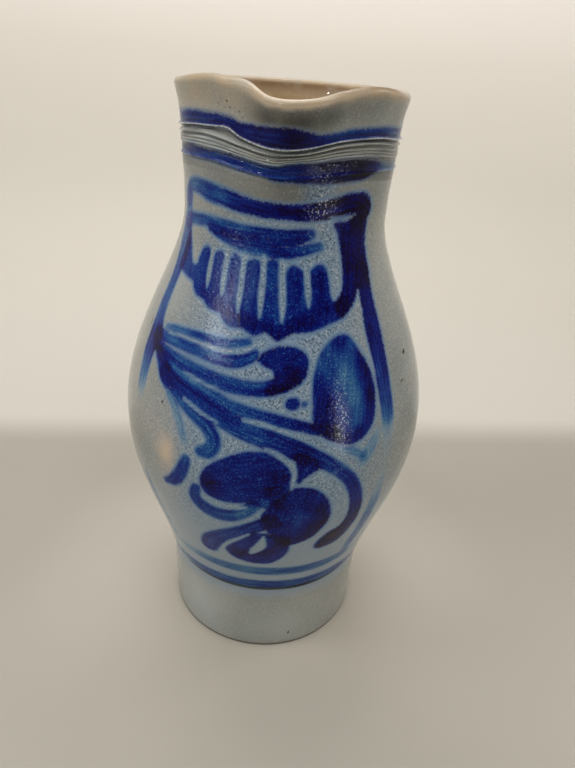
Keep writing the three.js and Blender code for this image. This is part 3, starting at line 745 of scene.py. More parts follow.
def grid_faces(first, count, rows):
    """Quads between rings of points, each ring one row after the other."""
    faces = []
    for base in range(first, first + (rows - 1) * count, count):
        for j in range(count):
            k = (j + 1) % count
            faces.append((base + j, base + k, base + count + k, base + count + j))
    return faces


def fan_faces(first, count, centre):
    """Triangles from a ring of points to the one in its middle."""
    return [(first + j, first + (j + 1) % count, centre) for j in range(count)]


def flipped(faces):
    return [face[::-1] for face in faces]


def new_object(name, points, faces, material):
    """A smooth mesh in the scene, from points in metres."""
    mesh = bpy.data.meshes.new(name)
    mesh.from_pydata(np.asarray(points).tolist(), [], faces)
    mesh.polygons.foreach_set("use_smooth", np.ones(len(mesh.polygons), bool))
    mesh.validate()
    mesh.materials.append(material)
    thing = bpy.data.objects.new(name, mesh)
    bpy.context.scene.collection.objects.link(thing)
    return thing


# What the glaze reads on the pieces' points: numbers, and the vectors azimuth, height and
# radius (wall) and the brush's way, its side and the mark's number (brush)
NUMBERS = (
    "ink", "load", "inside", "stand", "warm", "bare_clay", "speck", "peel", "painted_shadow", "painted_shade_and_dull",
    "pale", "painted_sparkle", "cool", "lip", "band", "edge",
)
VECTORS = ("brush", "wall")


def new_piece(name, points, faces, material, node, fields):
    """A visible piece in a CAD node's place. Fields that it isn't given are zero."""
    piece = new_object(name, np.asarray(points) * MM, faces, material)
    for names, kind, key, shape in (
        (NUMBERS, "FLOAT", "value", (len(points),)),
        (VECTORS, "FLOAT_VECTOR", "vector", (len(points), 3)),
    ):
        for field in names:
            values = np.full(shape, fields.get(field, 0.0), np.float32)
            layer = piece.data.attributes.new(field, kind, "POINT")
            layer.data.foreach_set(key, values.ravel())
    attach(piece, "root")
    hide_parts(node)


# Where on the wall the looks change: heights in millimetres at which each starts, is full,
# starts to fade and ends
SPIRAL_HEIGHTS = (2.0, 8.0, 280.0, 286.0)
PEEL_HEIGHTS = (60.0, 120.0, 232.0, 250.0)
COOL_HEIGHTS = (36.0, 45.0, 80.0, 140.0)
STEP_SHADOW = (FOOT_HEIGHT - 3.1, FOOT_HEIGHT - 2.6, STEP_TOP - 0.1, STEP_TOP + 0.5)

# Heights between which the bare underside and the painted contact shadow under the foot end, and the
# rim's warmth and the lip front's wear and painted highlight set in
UNDERSIDE_ENDS = (0.1, 2.0)
CONTACT_SHADOW_ENDS = (0.6, 2.4)
RIM_WARMS = (RIM_HEIGHT - 6.0, RIM_HEIGHT - 1.0)
FRONT_WEAR_AND_HIGHLIGHT_ENDS = (RIM_HEIGHT - 4.3, RIM_HEIGHT - 2.4)

# How strong they are, from 0 to 1, and how far the edge of the front's wear and painted highlight wanders
# in millimetres
RIM_WARMTH = 0.9
UNDERSIDE_WARMTH = 0.7
CONTACT_SHADOW = 0.85
FRONT_WEAR_AND_HIGHLIGHT = 0.75
FRONT_RAGGED = 0.7

# The step's shadow: how deep on the whole, and how far that varies
STEP_DARK = 0.78
STEP_BROKEN = 0.22

# The cool tone low on the belly: how much fainter it is on the far sides, where its middle is,
# and how many degrees from there that starts and is full
COOL_FADE = 0.65
COOL_MIDDLE = -10.0
COOL_SIDES = (75.0, 125.0)

# Where the cobalt is duller: how much, and the heights at which that starts and is full
DULL_COBALT = [(0.30, 74.0, 68.0), (0.32, 262.0, 268.0), (0.15, 252.0, 258.0)]

# The way over the lip goes from 0 outside to 0.6 inside; down the inside it goes on from 0.75
# in equal steps to 1
LIP_END = 0.6
INSIDE_START = 0.75
INSIDE_STEP = 0.1

# The lip's crest, paler with wear and painted highlight: where on that way, how wide, and how strong in
# general and at the spout
CREST_AT = 0.26
CREST_WIDTH = 0.16
CREST_WEAR_AND_HIGHLIGHT = 0.12
CREST_WEAR_AND_HIGHLIGHT_SPOUT = 0.85

# Where the salt glaze is thickest and most pitted, in degrees round the vessel
PEEL_MIDDLE = -6.0
PEEL_REACH = 42.0

# The turned ridges lie between these heights
RIDGE_FROM = 255.0
RIDGE_TO = 273.0

# The spout's middle and reach in degrees, where the lip is paler with wear and painted highlight
SPOUT_MIDDLE = -3.0
SPOUT_REACH = 24.0


def wall_fields(azimuth, height, radius, stand, inside):
    """What the glaze reads on the vessel's points."""
    radius_or_one = np.maximum(radius, 1.0)
    paint = painted(azimuth, height, radius_or_one)
    outside = inside == 0
    load = np.where(outside, 1.0 - paint.bare, 0.0)

    def patches(places):
        return spots(azimuth, height, np.radians(1.0) * radius_or_one, places) * outside

    under = (1 - smooth(*UNDERSIDE_ENDS, height)) * outside
    warm = [
        patches(WARM_PATCHES),
        RIM_WARMTH * smooth(*RIM_WARMS, height),
        UNDERSIDE_WARMTH * under,
    ]
    peeled = bell(azimuth, PEEL_MIDDLE, PEEL_REACH) * plateau(height, *PEEL_HEIGHTS) * outside
    # Painted shadow: a dark line where the jug stands, and under the step's ledge
    contact_shadow = CONTACT_SHADOW * (1 - smooth(*CONTACT_SHADOW_ENDS, height))
    broken = STEP_DARK + STEP_BROKEN * wave_round(azimuth, STEP_SEED)
    shadow = plateau(height, *STEP_SHADOW) * broken
    # Painted shade under the spout and on the neck's front, and duller cobalt low on the belly and on the
    # bands
    painted_shade_and_dull = [patches(PAINTED_SHADE_PATCHES) * (1 - np.minimum(1.0, load))]
    painted_shade_and_dull += [dull * load * smooth(start, full, height) for dull, start, full in DULL_COBALT]
    beside = smooth(*COOL_SIDES, np.abs(azimuth - COOL_MIDDLE))
    cool = plateau(height, *COOL_HEIGHTS) * (1 - COOL_FADE * beside)
    # The lip paler with wear and with painted highlight, on its crest and on its front at the spout
    spout = bell(azimuth, SPOUT_MIDDLE, SPOUT_REACH)
    crest = bell(inside, CREST_AT, CREST_WIDTH) * (inside > 0)
    ragged = height + FRONT_RAGGED * wave_round(azimuth, FRONT_SEED, 12)
    lip_wear_and_highlight = [
        (CREST_WEAR_AND_HIGHLIGHT + CREST_WEAR_AND_HIGHLIGHT_SPOUT * spout) * crest,
        FRONT_WEAR_AND_HIGHLIGHT * spout * smooth(*FRONT_WEAR_AND_HIGHLIGHT_ENDS, ragged) * outside,
    ]
    above_step = smooth(-0.6, 0.6, height - line_height(STEP_LINE, azimuth))
    below_top = smooth(-0.4, 0.6, line_height(TOP_LINE, azimuth) - height)
    # Painted shade in the crease, brown: along the lip's inner edge and over the lip at the spout's left
    # corner; and a brown tone over the lip on the right
    brown_edge_and_shade = [
        (0.60 + 0.40 * bell(azimuth, -32.0, 14.0)) * bell(inside, 0.60, 0.09),
        bell(azimuth, -23.0, 14.0) * plateau(inside, 0.28, 0.38, 0.65, 0.75),
        0.55 * plateau(azimuth, 4.0, 24.0, 95.0, 140.0) * plateau(inside, 0.06, 0.2, 0.7, 0.8),
    ]
    ridged = (height > RIDGE_FROM) & (height < RIDGE_TO) & outside
    return {
        "ink": np.where(outside, paint.edge, OUTSIDE),
        "load": load,
        "brush": np.stack([paint.along, paint.across, paint.seed], axis=-1),
        "wall": np.stack([azimuth, height, radius], axis=-1),
        "inside": inside,
        "stand": np.where(ridged, stand, 0.0),
        "warm": np.maximum.reduce(warm),
        "bare_clay": under,
        "speck": patches(SPECKS),
        "peel": (0.10 + 0.90 * np.maximum(peeled, patches(PEELED))) * outside,
        "painted_shadow": np.clip(shadow + contact_shadow, 0.0, 1.0) * outside,
        "painted_shade_and_dull": np.maximum.reduce(painted_shade_and_dull),
        # Paler patches, partly painted highlight
        "pale": patches(PALE_AND_HIGHLIGHT_PATCHES),
        # Painted highlight: sparkles of glint
        "painted_sparkle": patches(PAINTED_SPARKLES),
        "cool": cool * outside,
        "lip": np.maximum(*lip_wear_and_highlight),
        "band": above_step * below_top * outside,
        "edge": np.maximum.reduce(brown_edge_and_shade),
    }


def vessel(material):
    """The thrown body: outside and lip on a fine grid, inside on a coarser one."""
    front = np.linspace(FRONT_FROM, FRONT_TO, FRONT_COLUMNS, endpoint=False)
    back = np.linspace(FRONT_TO, 360.0 + FRONT_FROM, BACK_COLUMNS, endpoint=False)
    fine = (np.concatenate([front, back]) + 180.0) % 360.0 - 180.0
    coarse = fine[::INSIDE_EVERY]
    points = []
    marks = []

    def ring(azimuth, radius, height, stand, inside):
        points.append(place(azimuth, radius + stand, height))
        marks.append(np.stack(np.broadcast_arrays(azimuth, height, radius, stand, inside)))

    for radius, height in foot_rows():
        ring(fine, radius, height, 0.0, 0.0)
    for height in np.concatenate([np.linspace(*span) for span in OUTSIDE_SPANS]):
        spiral = plateau(height, *SPIRAL_HEIGHTS) * throwing(fine, height)
        ring(fine, wall_radius(height), height, relief(fine, height) + spiral, 0.0)
    for i, (radius, height) in enumerate(lip_rows()):
        ring(fine, radius, height, 0.0, LIP_END * (i + 1) / LIP_ROWS)
    outer_rows = len(points)
    for i, (radius, height) in enumerate(inner_rows()):
        wavy = 0.25 * np.sin(height / 2.6 + np.radians(coarse)) * smooth(12.0, 30.0, height)
        ring(coarse, radius, height, wavy, min(1.0, INSIDE_START + INSIDE_STEP * i))
    inner_count = len(points) - outer_rows
    points.append([(0.0, 0.0, 0.0), (0.0, 0.0, FLOOR_THICKNESS)])
    marks.append(np.transpose([(0.0, 0.0, 1.0, 0.0, 0.0), (0.0, FLOOR_THICKNESS, 1.0, 0.0, 1.0)]))

    count = len(fine)
    narrow = len(coarse)
    last_outer = (outer_rows - 1) * count
    first_inner = outer_rows * count
    total = first_inner + inner_count * narrow
    faces = grid_faces(0, count, outer_rows)
    for j in range(narrow):
        k = (j + 1) % narrow
        a = last_outer + INSIDE_EVERY * j
        d = last_outer + INSIDE_EVERY * k
        faces.append((a, a + 1, first_inner + j))
        faces.append((a + 1, a + 2, first_inner + k, first_inner + j))
        faces.append((a + 2, d, first_inner + k))
    faces += grid_faces(first_inner, narrow, inner_count)
    faces += flipped(fan_faces(0, count, total))
    faces += fan_faces(total - narrow, narrow, total + 1)
    fields = wall_fields(*np.hstack(marks))
    new_piece("glazed_body", np.vstack(points), faces, material, "thrown_body", fields)


def handle_frames():
    """Points along the handle's centre line, its heading, and its tail's share of the length."""
    upper_height = BAND_BOTTOM - UPPER_JOINT_DROP
    lower_height = WIDEST_HEIGHT + LOWER_JOINT_RISE
    turn_height = upper_height - HANDLE_TURN_DROP
    tail_height = lower_height - TAIL_LENGTH
    outside = wall_radius(turn_height) + FINGER_SPACE + STRAP_THICKNESS / 2
    upper_wall = wall_radius(upper_height)
    lower_wall = wall_radius(lower_height) + JOINT_BED + LOWER_SEAT * STRAP_THICKNESS
    tail_wall = wall_radius(tail_height) + JOINT_BED + TAIL_THICKNESS / 2
    first = bezier(
        (upper_wall + JOINT_BED, upper_height),
        (upper_wall + UPPER_STRAIGHT * FINGER_SPACE, upper_height),
        (outside, upper_height + 2 * HANDLE_ARCH),
        (outside, turn_height),
    )
    above = LOWER_APPROACH * TAIL_LENGTH
    second = bezier(
        (outside, turn_height),
        (outside, lower_height + LOWER_APPROACH * LOWER_JOINT_RISE),
        (lower_wall + TAIL_LEAN * above, lower_height + above),
        (lower_wall, lower_height),
    )
    below = TAIL_BEND * TAIL_LENGTH
    bend = (lower_wall - TAIL_LEAN * below, lower_height - below)
    t = np.linspace(0.0, 1.0, 41)[:, None]
    ends = np.array([(lower_wall, lower_height), bend, (tail_wall, tail_height)])
    third = (1 - t) ** 2 * ends[0] + 2 * (1 - t) * t * ends[1] + t**2 * ends[2]
    line = np.vstack([first, second[1:], third[1:]])
    run = np.concatenate([[0.0], np.cumsum(np.hypot(*np.diff(line, axis=0).T))])
    at = SHARES * run[-1]
    centres = np.stack([np.interp(at, run, line[:, i]) for i in (0, 1)], axis=-1)
    heading = np.gradient(centres, axis=0)
    heading /= np.linalg.norm(heading, axis=1)[:, None]
    return centres, heading, TAIL_LENGTH / run[-1]


# Each ring's share of the way along the handle, and each point's turn round a ring
SHARES = np.linspace(0.0, 1.0, HANDLE_RINGS)
TURNS = np.linspace(0.0, 2 * np.pi, HANDLE_POINTS, endpoint=False)

CENTRES, HEADING, TAIL_SHARE = handle_frames()


def strap_outline(width, thickness, along):
    """One section of the strap: soft edges, and the lengthwise marks of the pulling fingers."""
    across = -(width / 2) * np.cos(TURNS)
    share = np.abs(across) / (width / 2)
    edge = np.sqrt(np.maximum(0.0, 1 - share**4))
    outer = np.sin(TURNS) >= 0
    wander = 0.05 * math.sin(9.0 * along) + 0.03 * math.sin(23.0 * along + 1.0)
    wave = 0.5 + 0.5 * np.cos(2 * np.pi * STRAP_RIDGES * (0.5 + across / width + wander))
    half = thickness / 2 - np.where(outer, STRAP_GROOVE * wave, 0.0)
    return across, np.where(outer, 1.0, -1.0) * edge * half


def off_centre(ring, out):
    """Distance behind the axis, and height, of points that lie out from the handle's line."""
    return CENTRES[ring, 0] - HEADING[ring, 1] * out, CENTRES[ring, 1] + HEADING[ring, 0] * out


def strap_handle(material):
    """The pulled strap, thinned out at its tail, its upper end sunk in the joint clay."""
    rings = []
    for i, share in enumerate(SHARES):
        thinning = smooth(1 - THINNING * TAIL_SHARE, 1.0, share)
        width = STRAP_WIDTH + (TAIL_WIDTH - STRAP_WIDTH) * thinning
        thickness = STRAP_THICKNESS + (TAIL_THICKNESS - STRAP_THICKNESS) * thinning
        end = math.sqrt(1 - max(0.0, (share - END_FROM) / (1 - END_FROM)) ** 2)
        across, out = strap_outline(width, thickness, share)
        sway = STRAP_SWAY * math.sin(5.0 * share + 0.6) * plateau(share, 0.0, 0.2, 0.8, 1.0)
        x = across * (END_WIDTH + (1 - END_WIDTH) * end) + sway
        out = out * (END_THICKNESS + (1 - END_THICKNESS) * end)
        rings.append(np.stack([x, *off_centre(i, out)], axis=-1))
    points = np.vstack(rings + [rings[0].mean(axis=0), rings[-1].mean(axis=0)])
    total = HANDLE_RINGS * HANDLE_POINTS
    faces = grid_faces(0, HANDLE_POINTS, HANDLE_RINGS)
    faces += flipped(fan_faces(0, HANDLE_POINTS, total))
    faces += fan_faces(total - HANDLE_POINTS, HANDLE_POINTS, total + 1)
    warm = 0.10 + 0.25 * smooth(255.0, 266.0, points[:, 2])
    fields = {"ink": OUTSIDE, "warm": warm}
    new_piece("pulled_handle", points, faces, material, "strap_handle", fields)


def on_wall(x, z, lift):
    """How far behind the axis the back wall lies, lifted off it, in millimetres."""
    radius = wall_radius(z) + lift
    return np.sqrt(np.maximum(radius * radius - x * x, 0.0))


def upper_collar(row, t):
    """Round the strap where it meets the neck: flared on the wall, close round the strap."""
    across, out = strap_outline(STRAP_WIDTH, STRAP_THICKNESS, SHARES[row])
    flare = UPPER_FLARE * (1 - t) ** FLARE_POWER + UPPER_CLOSE
    x = across - np.cos(TURNS) * flare
    y, z = off_centre(row, out + np.sin(TURNS) * flare)
    if row == 0:
        return x, on_wall(x, z, -JOINT_SINK), z
    return x, np.maximum(y, on_wall(x, z, 0.0) + UPPER_SWELL * t**2), z


def lower_collar(row, t):
    """Round the tail: an oval on the belly that rises to the strap's edge."""
    size = 1.0 - LOWER_CLOSING * t
    x = -np.cos(TURNS) * (TAIL_WIDTH / 2 + JOINT_SPREAD) * size
    middle = WIDEST_HEIGHT + LOWER_JOINT_RISE - TAIL_LENGTH / 2
    z = middle + np.sin(TURNS) * (TAIL_LENGTH / 2 + JOINT_SPREAD) * size
    return x, on_wall(x, z, LOWER_SWELL * (1 - size**2) ** SWELL_POWER - JOINT_SINK), z


def joint_clay(name, node, outline_at, material):
    """Soft clay wiped up round an end of the handle: a hollow-sided collar on the wall."""
    shares = np.linspace(0.0, 1.0, JOINT_ROWS)
    points = np.vstack([np.stack(outline_at(i, t), axis=-1) for i, t in enumerate(shares)])
    faces = grid_faces(0, HANDLE_POINTS, JOINT_ROWS)
    new_piece(name, points, faces, material, node, {"ink": OUTSIDE, "warm": 0.12})


class Nodes:
    """A new material, and a short way to write its node tree."""

    def __init__(self, name):
        self.material = bpy.data.materials.new(name)
        self.material.use_nodes = True
        self.tree = self.material.node_tree
        self.tree.nodes.clear()

    def add(self, kind, inputs=None, **settings):
        """A node with its settings, and with its inputs by name or number."""
        node = self.tree.nodes.new(kind)
        for name, value in settings.items():
            setattr(node, name, value)
        for key, value in (inputs or {}).items():
            if hasattr(value, "is_output"):
                self.tree.links.new(value, node.inputs[key])
            else:
                node.inputs[key].default_value = value
        return node

    def math(self, operation, *values, clamp=False):
        inputs = dict(enumerate(values))
        return self.add("ShaderNodeMath", inputs, operation=operation, use_clamp=clamp).outputs[0]

    def plus(self, a, b):
        return self.math("ADD", a, b)

    def times(self, first, *others, clamp=False):
        for other in others:
            first = self.math("MULTIPLY", first, other, clamp=clamp)
        return first

    def swing(self, value, amount):
        """A noise about its middle, made larger or smaller."""
        return self.times(self.math("SUBTRACT", value, 0.5), amount)

    def between(self, value, low, high, to_low=0.0, to_high=1.0):
        """A smooth step from one number to another, as a value goes from low to high."""
        inputs = dict(enumerate((value, low, high, to_low, to_high)))
        return self.add("ShaderNodeMapRange", inputs, interpolation_type="SMOOTHSTEP").outputs[0]

    def mix(self, factor, a, b):
        return self.add("ShaderNodeMix", {0: factor, 6: a, 7: b}, data_type="RGBA").outputs[2]

    def coats(self, colour, layers):
        """Coats of colour one over the other: each one's colour, and the product of its shares."""
        for coat, *shares in layers:
            colour = self.mix(self.times(*shares), colour, coat)
        return colour

    def scalar(self, name):
        return self.add("ShaderNodeAttribute", attribute_name=name).outputs["Fac"]

    def vector(self, name):
        return self.add("ShaderNodeAttribute", attribute_name=name).outputs["Vector"]

    def place(self):
        return self.add("ShaderNodeTexCoord").outputs["Object"]

    def part(self, vector, index):
        return self.add("ShaderNodeSeparateXYZ", {0: vector}).outputs[index]

    def scaled(self, vector, scale):
        return self.add("ShaderNodeMapping", {"Vector": vector, "Scale": scale}).outputs[0]

    def noise(self, vector, scale, detail=2.0, rough=0.5):
        inputs = {"Vector": vector, "Scale": scale, "Detail": detail, "Roughness": rough}
        return self.add("ShaderNodeTexNoise", inputs).outputs["Fac"]

    def cells(self, vector, scale):
        inputs = {"Vector": vector, "Scale": scale}
        return self.add("ShaderNodeTexVoronoi", inputs, feature="SMOOTH_F1").outputs["Distance"]

    def ramp(self, value, stops):
        node = self.add("ShaderNodeValToRGB", {0: value})
        points = node.color_ramp.elements
        while len(points) < len(stops):
            points.new(0.5)
        for point, (at, colour) in zip(points, stops):
            point.position = at
            point.color = colour
        return node.outputs[0]

    def finish(self, inputs):
        shader = self.add("ShaderNodeBsdfPrincipled", inputs)
        self.add("ShaderNodeOutputMaterial", {"Surface": shader.outputs[0]})
        return self.material


def shade(red, green, blue):
    """A colour seen on a screen, 0 to 255, as the light that a surface gives back."""
    screen = [v / 255.0 for v in (red, green, blue)]
    return (*(v / 12.92 if v <= 0.04045 else ((v + 0.055) / 1.055) ** 2.4 for v in screen), 1.0)


GREY_BODY = shade(186, 188, 183)
GREY_SHADE = shade(159, 164, 162)
GREY_PALE = shade(204, 213, 216)
GREY_PIT = shade(84, 104, 126)
WARM_BODY = shade(226, 208, 186)
LIP_TAN = shade(214, 189, 154)
# The lip's pale wear and painted highlight
LIP_PALE_AND_HIGHLIGHT = shade(240, 223, 200)
FRONT_BLUE = shade(150, 177, 205)
# Grey of the painted shade under the spout and of the duller cobalt
SHADE_AND_DULL_GREY = shade(52, 54, 56)
INSIDE_TAN = shade(242, 214, 170)
INSIDE_DARK = shade(222, 186, 140)
# Brown of the lip's edges, with the painted shade in its crease
EDGE_BROWN_AND_SHADE = shade(122, 80, 40)
COOL_BODY = shade(164, 184, 206)
HALO_BLUE = shade(142, 172, 204)
# White of the painted sparkles of highlight
SPARKLE_WHITE = shade(226, 232, 244)
IRON = shade(44, 36, 30)
# Dark of the colour gathered in the ridges' grooves, with painted shade
HOLLOW_GLAZE_AND_SHADE = shade(58, 60, 66)
CREST_GREY = shade(186, 190, 190)
# White of the painted glints on the highest crests
CREST_GLINT_WHITE = shade(250, 250, 248)
LINE_DARK = shade(84, 88, 96)
# Black of the painted shadows under the step and where the jug stands
SHADOW_BLACK = shade(6, 8, 14)
FLOOR_TONE = shade(194, 188, 176)
FLOOR_DEEP = shade(178, 172, 160)
FLOOR_NEAR_PAINTED_LIGHT = shade(210, 203, 190)
WALL_TONE = shade(212, 206, 195)
WALL_TOP_PAINTED_LIGHT = shade(244, 238, 230)

# The cobalt's colour from thin to thick
COBALT = [
    (0.00, shade(140, 172, 192)),
    (0.18, shade(86, 138, 178)),
    (0.36, shade(52, 104, 168)),
    (0.52, shade(36, 72, 152)),
    (0.68, shade(30, 44, 138)),
    (0.82, shade(27, 30, 108)),
    (0.92, shade(31, 26, 72)),
    (1.00, shade(30, 25, 48)),
]

# How fine the glaze's grains, cells, clouds and lines are, per metre
FINE_GRAIN = 1150.0
SAND_GRAIN = 1900.0
SKIN_CELLS = 820.0
CLOUDS = 26.0
PATCHES = 110.0
TURNED_LINES = (10.0, 10.0, 330.0)

# The same per degree and millimetre of the wall, and per millimetre along and across the brush
BAND_LINES = (0.035, 1.9, 0.0)
BRUSH_STREAKS = (0.06, 0.62, 7.3)

# The orange-peel skin's depth in metres, and its strength
SKIN_DEPTH = 0.00028
SKIN_STRENGTH = 0.9


def glaze_material(name):
    """Salt glaze on grey stoneware, with cobalt soaked into it."""
    n = Nodes(name)
    at = n.place()
    fine = n.noise(at, FINE_GRAIN, 2.0, 0.6)
    sand = n.noise(at, SAND_GRAIN, 1.0)
    peel = n.cells(at, SKIN_CELLS)
    clouds = n.noise(at, CLOUDS, 3.0)
    patches = n.noise(at, PATCHES, 3.0, 0.6)
    turned = n.noise(n.scaled(at, TURNED_LINES), 1.0, 3.0, 0.6)
    lines = n.noise(n.scaled(n.vector("wall"), BAND_LINES), 1.0, 2.0, 0.6)
    streak = n.noise(n.scaled(n.vector("brush"), BRUSH_STREAKS), 1.0, 3.0, 0.55)
    level = n.part(n.vector("wall"), 1)
    mark = n.part(n.vector("brush"), 2)
    grain = n.scalar("peel")
    load = n.scalar("load")
    stand = n.scalar("stand")
    band = n.scalar("band")

    # The grey body: broad clouds, faint turning lines and fine salt-glaze mottle, then what
    # the fire and the salt did to it, with paler patches that are partly painted highlight
    tan = n.mix(n.between(level, 276.0, 284.0), WARM_BODY, LIP_TAN)
    warmth = n.times(n.scalar("warm"), n.between(patches, 0.2, 0.75, 0.55, 1.15))
    inner = n.mix(n.between(patches, 0.35, 0.7), INSIDE_DARK, INSIDE_TAN)
    body = n.coats(n.mix(n.between(clouds, 0.30, 0.70), GREY_SHADE, GREY_BODY), [
        (GREY_SHADE, n.between(turned, 0.45, 0.75), 0.35),
        (GREY_SHADE, n.between(peel, 0.25, 0.62), 0.30),
        (FRONT_BLUE, n.between(grain, 0.22, 0.85), 0.85),
        (GREY_PALE, n.between(fine, 0.54, 0.68), n.plus(n.times(grain, 0.45), 0.45)),
        (GREY_PIT, n.between(fine, 0.51, 0.38), n.times(grain, 0.90)),
        # Paler patches, partly painted highlight
        (GREY_PALE, n.scalar("pale")),
        (COOL_BODY, n.scalar("cool"), 0.75),
        (tan, n.math("MINIMUM", warmth, 1.0)),
        (inner, n.between(n.scalar("inside"), 0.35, 0.95)),
    ])

    # Cobalt: streaks along the brush, pools, and grains where the salt broke it up
    ink = n.plus(n.scalar("ink"), n.plus(n.swing(fine, 3.2), n.swing(patches, 1.6)))
    soft = n.between(load, 0.1, 0.7, 2.2, 0.8)
    cover = n.between(ink, n.times(soft, -1.0), soft)
    streaky = n.between(mark, FIRST_AREA - 3.0, FIRST_AREA - 1.0, 0.85, 0.50)
    heavy = load
    for change in (
        n.swing(streak, streaky),
        n.swing(patches, 0.30),
        n.swing(sand, -0.55),
        n.times(n.between(fine, 0.53, 0.68), n.times(grain, -0.30)),
    ):
        heavy = n.plus(heavy, change)
    cobalt = n.ramp(n.times(heavy, n.between(load, 0.0, 0.15), clamp=True), COBALT)

    # A bluish halo, the cobalt and painted sparkles of highlight, then the ridges, in whose grooves the
    # colour gathers, darkened further as painted shade, while their crests are worn pale and the highest
    # carry painted white glints; and last what lies over it all, painted shadow and shade among it
    colour = n.coats(body, [
        (HALO_BLUE, n.between(ink, -4.8, -0.4), n.between(load, 0.01, 0.25, 0.0, 0.65),
            n.between(level, 250.0, 257.0, 1.0, 0.40)),
        (cobalt, cover, n.between(load, 0.02, 0.32, 0.10, 1.0)),
        # Painted highlight: sparkles of glint on the bud and the neck
        (SPARKLE_WHITE, n.between(fine, 0.575, 0.625), n.scalar("painted_sparkle"), 0.85),
        # Colour gathered in the grooves, darkened further as painted shade
        (HOLLOW_GLAZE_AND_SHADE, n.between(stand, 0.12, -0.32), 0.60),
        (CREST_GREY, n.between(stand, 0.22, 0.75), 0.55),
        # Painted highlight: white glints on the highest crests
        (CREST_GLINT_WHITE, n.between(stand, 0.50, 1.00), n.between(fine, 0.40, 0.54), 0.90),
        (LINE_DARK, n.between(lines, 0.50, 0.36), n.times(band, 0.55)),
        (GREY_BODY, n.between(lines, 0.56, 0.68), n.times(band, 0.45)),
        # Painted shadow under the step's ledge and where the jug stands
        (SHADOW_BLACK, n.scalar("painted_shadow")),
        # Painted shade under the spout and on the neck's front, and duller cobalt
        (SHADE_AND_DULL_GREY, n.scalar("painted_shade_and_dull"), 0.9),
        # The lip paler with wear and with painted highlight
        (LIP_PALE_AND_HIGHLIGHT, n.scalar("lip")),
        # Brown edges, with painted shade in the lip's crease
        (EDGE_BROWN_AND_SHADE, n.scalar("edge"), n.between(patches, 0.35, 0.6, 0.45, 1.0)),
        (IRON, n.between(n.scalar("speck"), 0.25, 0.6)),
    ])

    # The orange-peel skin of the salt glaze, shallower on the belly
    skin = n.plus(n.times(peel, 0.9), n.times(fine, 0.8))
    skin = n.times(skin, n.plus(n.times(grain, 0.8), 0.4), n.between(level, 170.0, 235.0, 0.30, 1.0))
    bump = n.add("ShaderNodeBump", {
        "Height": skin, "Strength": SKIN_STRENGTH, "Distance": SKIN_DEPTH,
    })
    rough = n.between(sand, 0.47, 0.56, 0.035, 0.20)
    return n.finish({
        "Base Color": colour,
        "Roughness": n.plus(rough, n.times(n.scalar("bare_clay"), 0.4)),
        "IOR": 1.5,
        "Specular IOR Level": 0.2,
        "Normal": bump.outputs[0],
    })


# The studio's floor, as far as its sweep, the sweep's radius and the wall's top, in metres
FLOOR_REACH = 0.62
SWEEP = 0.30
WALL_TOP = 0.62

# How far behind the jug the floor starts to turn paler, and where it is palest, in metres
FLOOR_TURNS_PALE = 0.15
FLOOR_IS_PALE = 0.20


def floor_material():
    """A pale floor, paler still behind the jug, where it turns up into the wall, with painted light:
    lighter round the jug, and the wall lighter towards its top.
    """
    n = Nodes("pale_floor")
    at = n.place()
    depth = n.part(at, 1)
    reach = n.add("ShaderNodeVectorMath", {0: n.scaled(at, (1.0, 1.0, 0.0))}, operation="LENGTH")
    # Painted light: the wall lighter towards its top
    wall = n.mix(n.between(n.part(at, 2), 0.10, 0.42), WALL_TONE, WALL_TOP_PAINTED_LIGHT)
    colour = n.coats(FLOOR_TONE, [
        (FLOOR_DEEP, n.between(depth, -0.12, 0.13)),
        # Painted light: the floor lighter round the jug, where its shadow falls
        (FLOOR_NEAR_PAINTED_LIGHT, n.between(reach.outputs["Value"], 0.17, 0.05)),
        (wall, n.between(depth, FLOOR_TURNS_PALE, FLOOR_IS_PALE)),
    ])
    return n.finish({"Base Color": colour, "Roughness": 0.8, "Specular IOR Level": 0.1})


def backdrop():
    """A pale round floor that sweeps up into a pale wall all round."""
    profile = [(0.0, 0.0), (0.30, 0.0), (FLOOR_REACH, 0.0)]
    for turn in np.linspace(0.0, np.pi / 2, 12)[1:]:
        profile.append((FLOOR_REACH + SWEEP * math.sin(turn), SWEEP * (1 - math.cos(turn))))
    profile.append((FLOOR_REACH + SWEEP, WALL_TOP))
    turns = np.linspace(0.0, 2 * np.pi, SWEEP_COLUMNS, endpoint=False)
    points = [(r * math.sin(t), -r * math.cos(t), z) for r, z in profile for t in turns]
    faces = flipped(grid_faces(0, SWEEP_COLUMNS, len(profile)))
    new_object("studio_sweep", points, faces, floor_material())


# Lamps: name, place, what it is turned to, size in metres, and power in watts
JUG_MIDDLE = (0.0, 0.0, 0.15)
LAMPS = [
    ("back_top", (-0.15, 0.60, 1.5), JUG_MIDDLE, (1.2, 1.0), 8.0),
    ("front_top", (0.0, -0.70, 1.6), JUG_MIDDLE, (1.2, 0.8), 9.0),
    ("left_window", (-1.35, -0.10, 0.95), JUG_MIDDLE, (0.5, 0.9), 6.5),
    ("right_window", (1.35, 0.30, 0.9), JUG_MIDDLE, (0.5, 0.9), 5.0),
    ("wall_wash", (0.0, 0.30, 1.0), (0.0, 0.92, 0.40), (0.6, 0.12), 2.6),
]
# Small bright windows, seen only as glints in the glaze
GLINTS = [
    ("right_glint", (0.301, -0.342, 0.114), (0.0, 0.0, 0.13), (0.006, 0.20), 0.18),
    ("left_glint", (-0.63, -0.415, 0.458), (0.0, 0.0, 0.20), (0.14, 0.02), 1.6),
]
GLINT_COLOUR = (0.86, 0.93, 1.0)
ROOM_LIGHT = 0.14


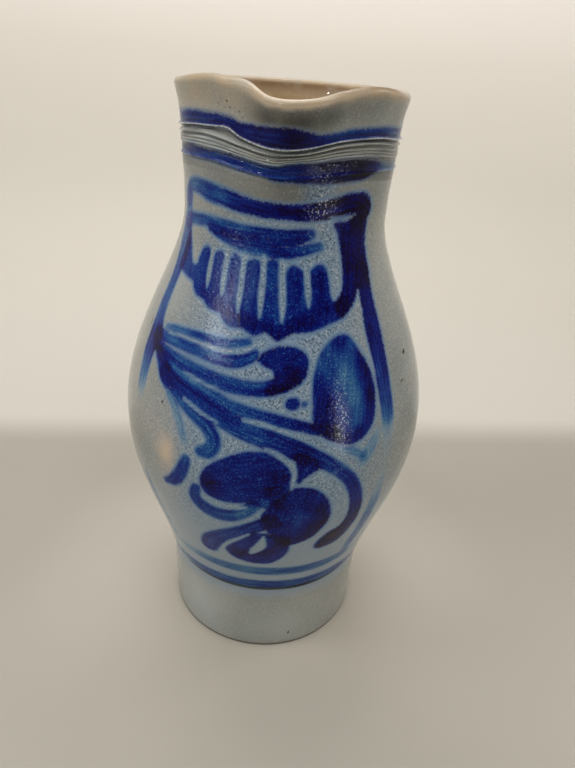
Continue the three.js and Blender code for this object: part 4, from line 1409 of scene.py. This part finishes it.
def area_light(name, place_at, target, size, power):
    data = bpy.data.lights.new(name, "AREA")
    data.shape = "RECTANGLE"
    data.size, data.size_y = size
    data.energy = power
    lamp = bpy.data.objects.new(name, data)
    lamp.location = place_at
    lamp.rotation_euler = (Vector(target) - Vector(place_at)).to_track_quat("-Z", "Y").to_euler()
    bpy.context.scene.collection.objects.link(lamp)
    return lamp


def lights():
    for lamp in LAMPS:
        area_light(*lamp)
    for lamp in GLINTS:
        glint = area_light(*lamp)
        glint.visible_diffuse = False
        glint.visible_camera = False
        glint.data.color = GLINT_COLOUR
    world = bpy.data.worlds.new("soft_room")
    bpy.context.scene.world = world
    world.use_nodes = True
    ground = world.node_tree.nodes["Background"]
    ground.inputs["Color"].default_value = (1.0, 1.0, 1.0, 1.0)
    ground.inputs["Strength"].default_value = ROOM_LIGHT


# The photograph's camera: its place, its turn to the right, down and about itself in degrees,
# and its lens; and how far the telephone crushed the blacks
CAMERA_PLACE = (-0.02709, -0.29202, 0.30045)
CAMERA_TURNS = (6.649, 28.339, 4.127)
CAMERA_LENS = 28.68
BLACK_POINT = 0.010


def camera():
    heading, drop, roll = (math.radians(v) for v in CAMERA_TURNS)
    data = bpy.data.cameras.new("photo_camera")
    data.lens = CAMERA_LENS
    data.sensor_width = 36.0
    data.sensor_fit = "AUTO"
    data.clip_start = 0.01
    eye = bpy.data.objects.new("photo_camera", data)
    eye.matrix_world = (
        Matrix.Translation(CAMERA_PLACE)
        @ Matrix.Rotation(-heading, 4, "Z")
        @ Matrix.Rotation(math.pi / 2 - drop, 4, "X")
        @ Matrix.Rotation(roll, 4, "Z")
    )
    bpy.context.scene.collection.objects.link(eye)
    bpy.context.scene.camera = eye


def film():
    """Plain colours, with the telephone's slightly crushed blacks."""
    view = bpy.context.scene.view_settings
    view.view_transform = "Standard"
    view.use_curve_mapping = True
    view.curve_mapping.black_level = (BLACK_POINT, BLACK_POINT, BLACK_POINT)
    view.curve_mapping.update()


film()
camera()
lights()
backdrop()
glaze = glaze_material("salt_glaze")
vessel(glaze)
strap_handle(glaze)
joint_clay("upper_collar", "upper_joint_clay", upper_collar, glaze)
joint_clay("lower_collar", "lower_joint_clay", lower_collar, glaze)
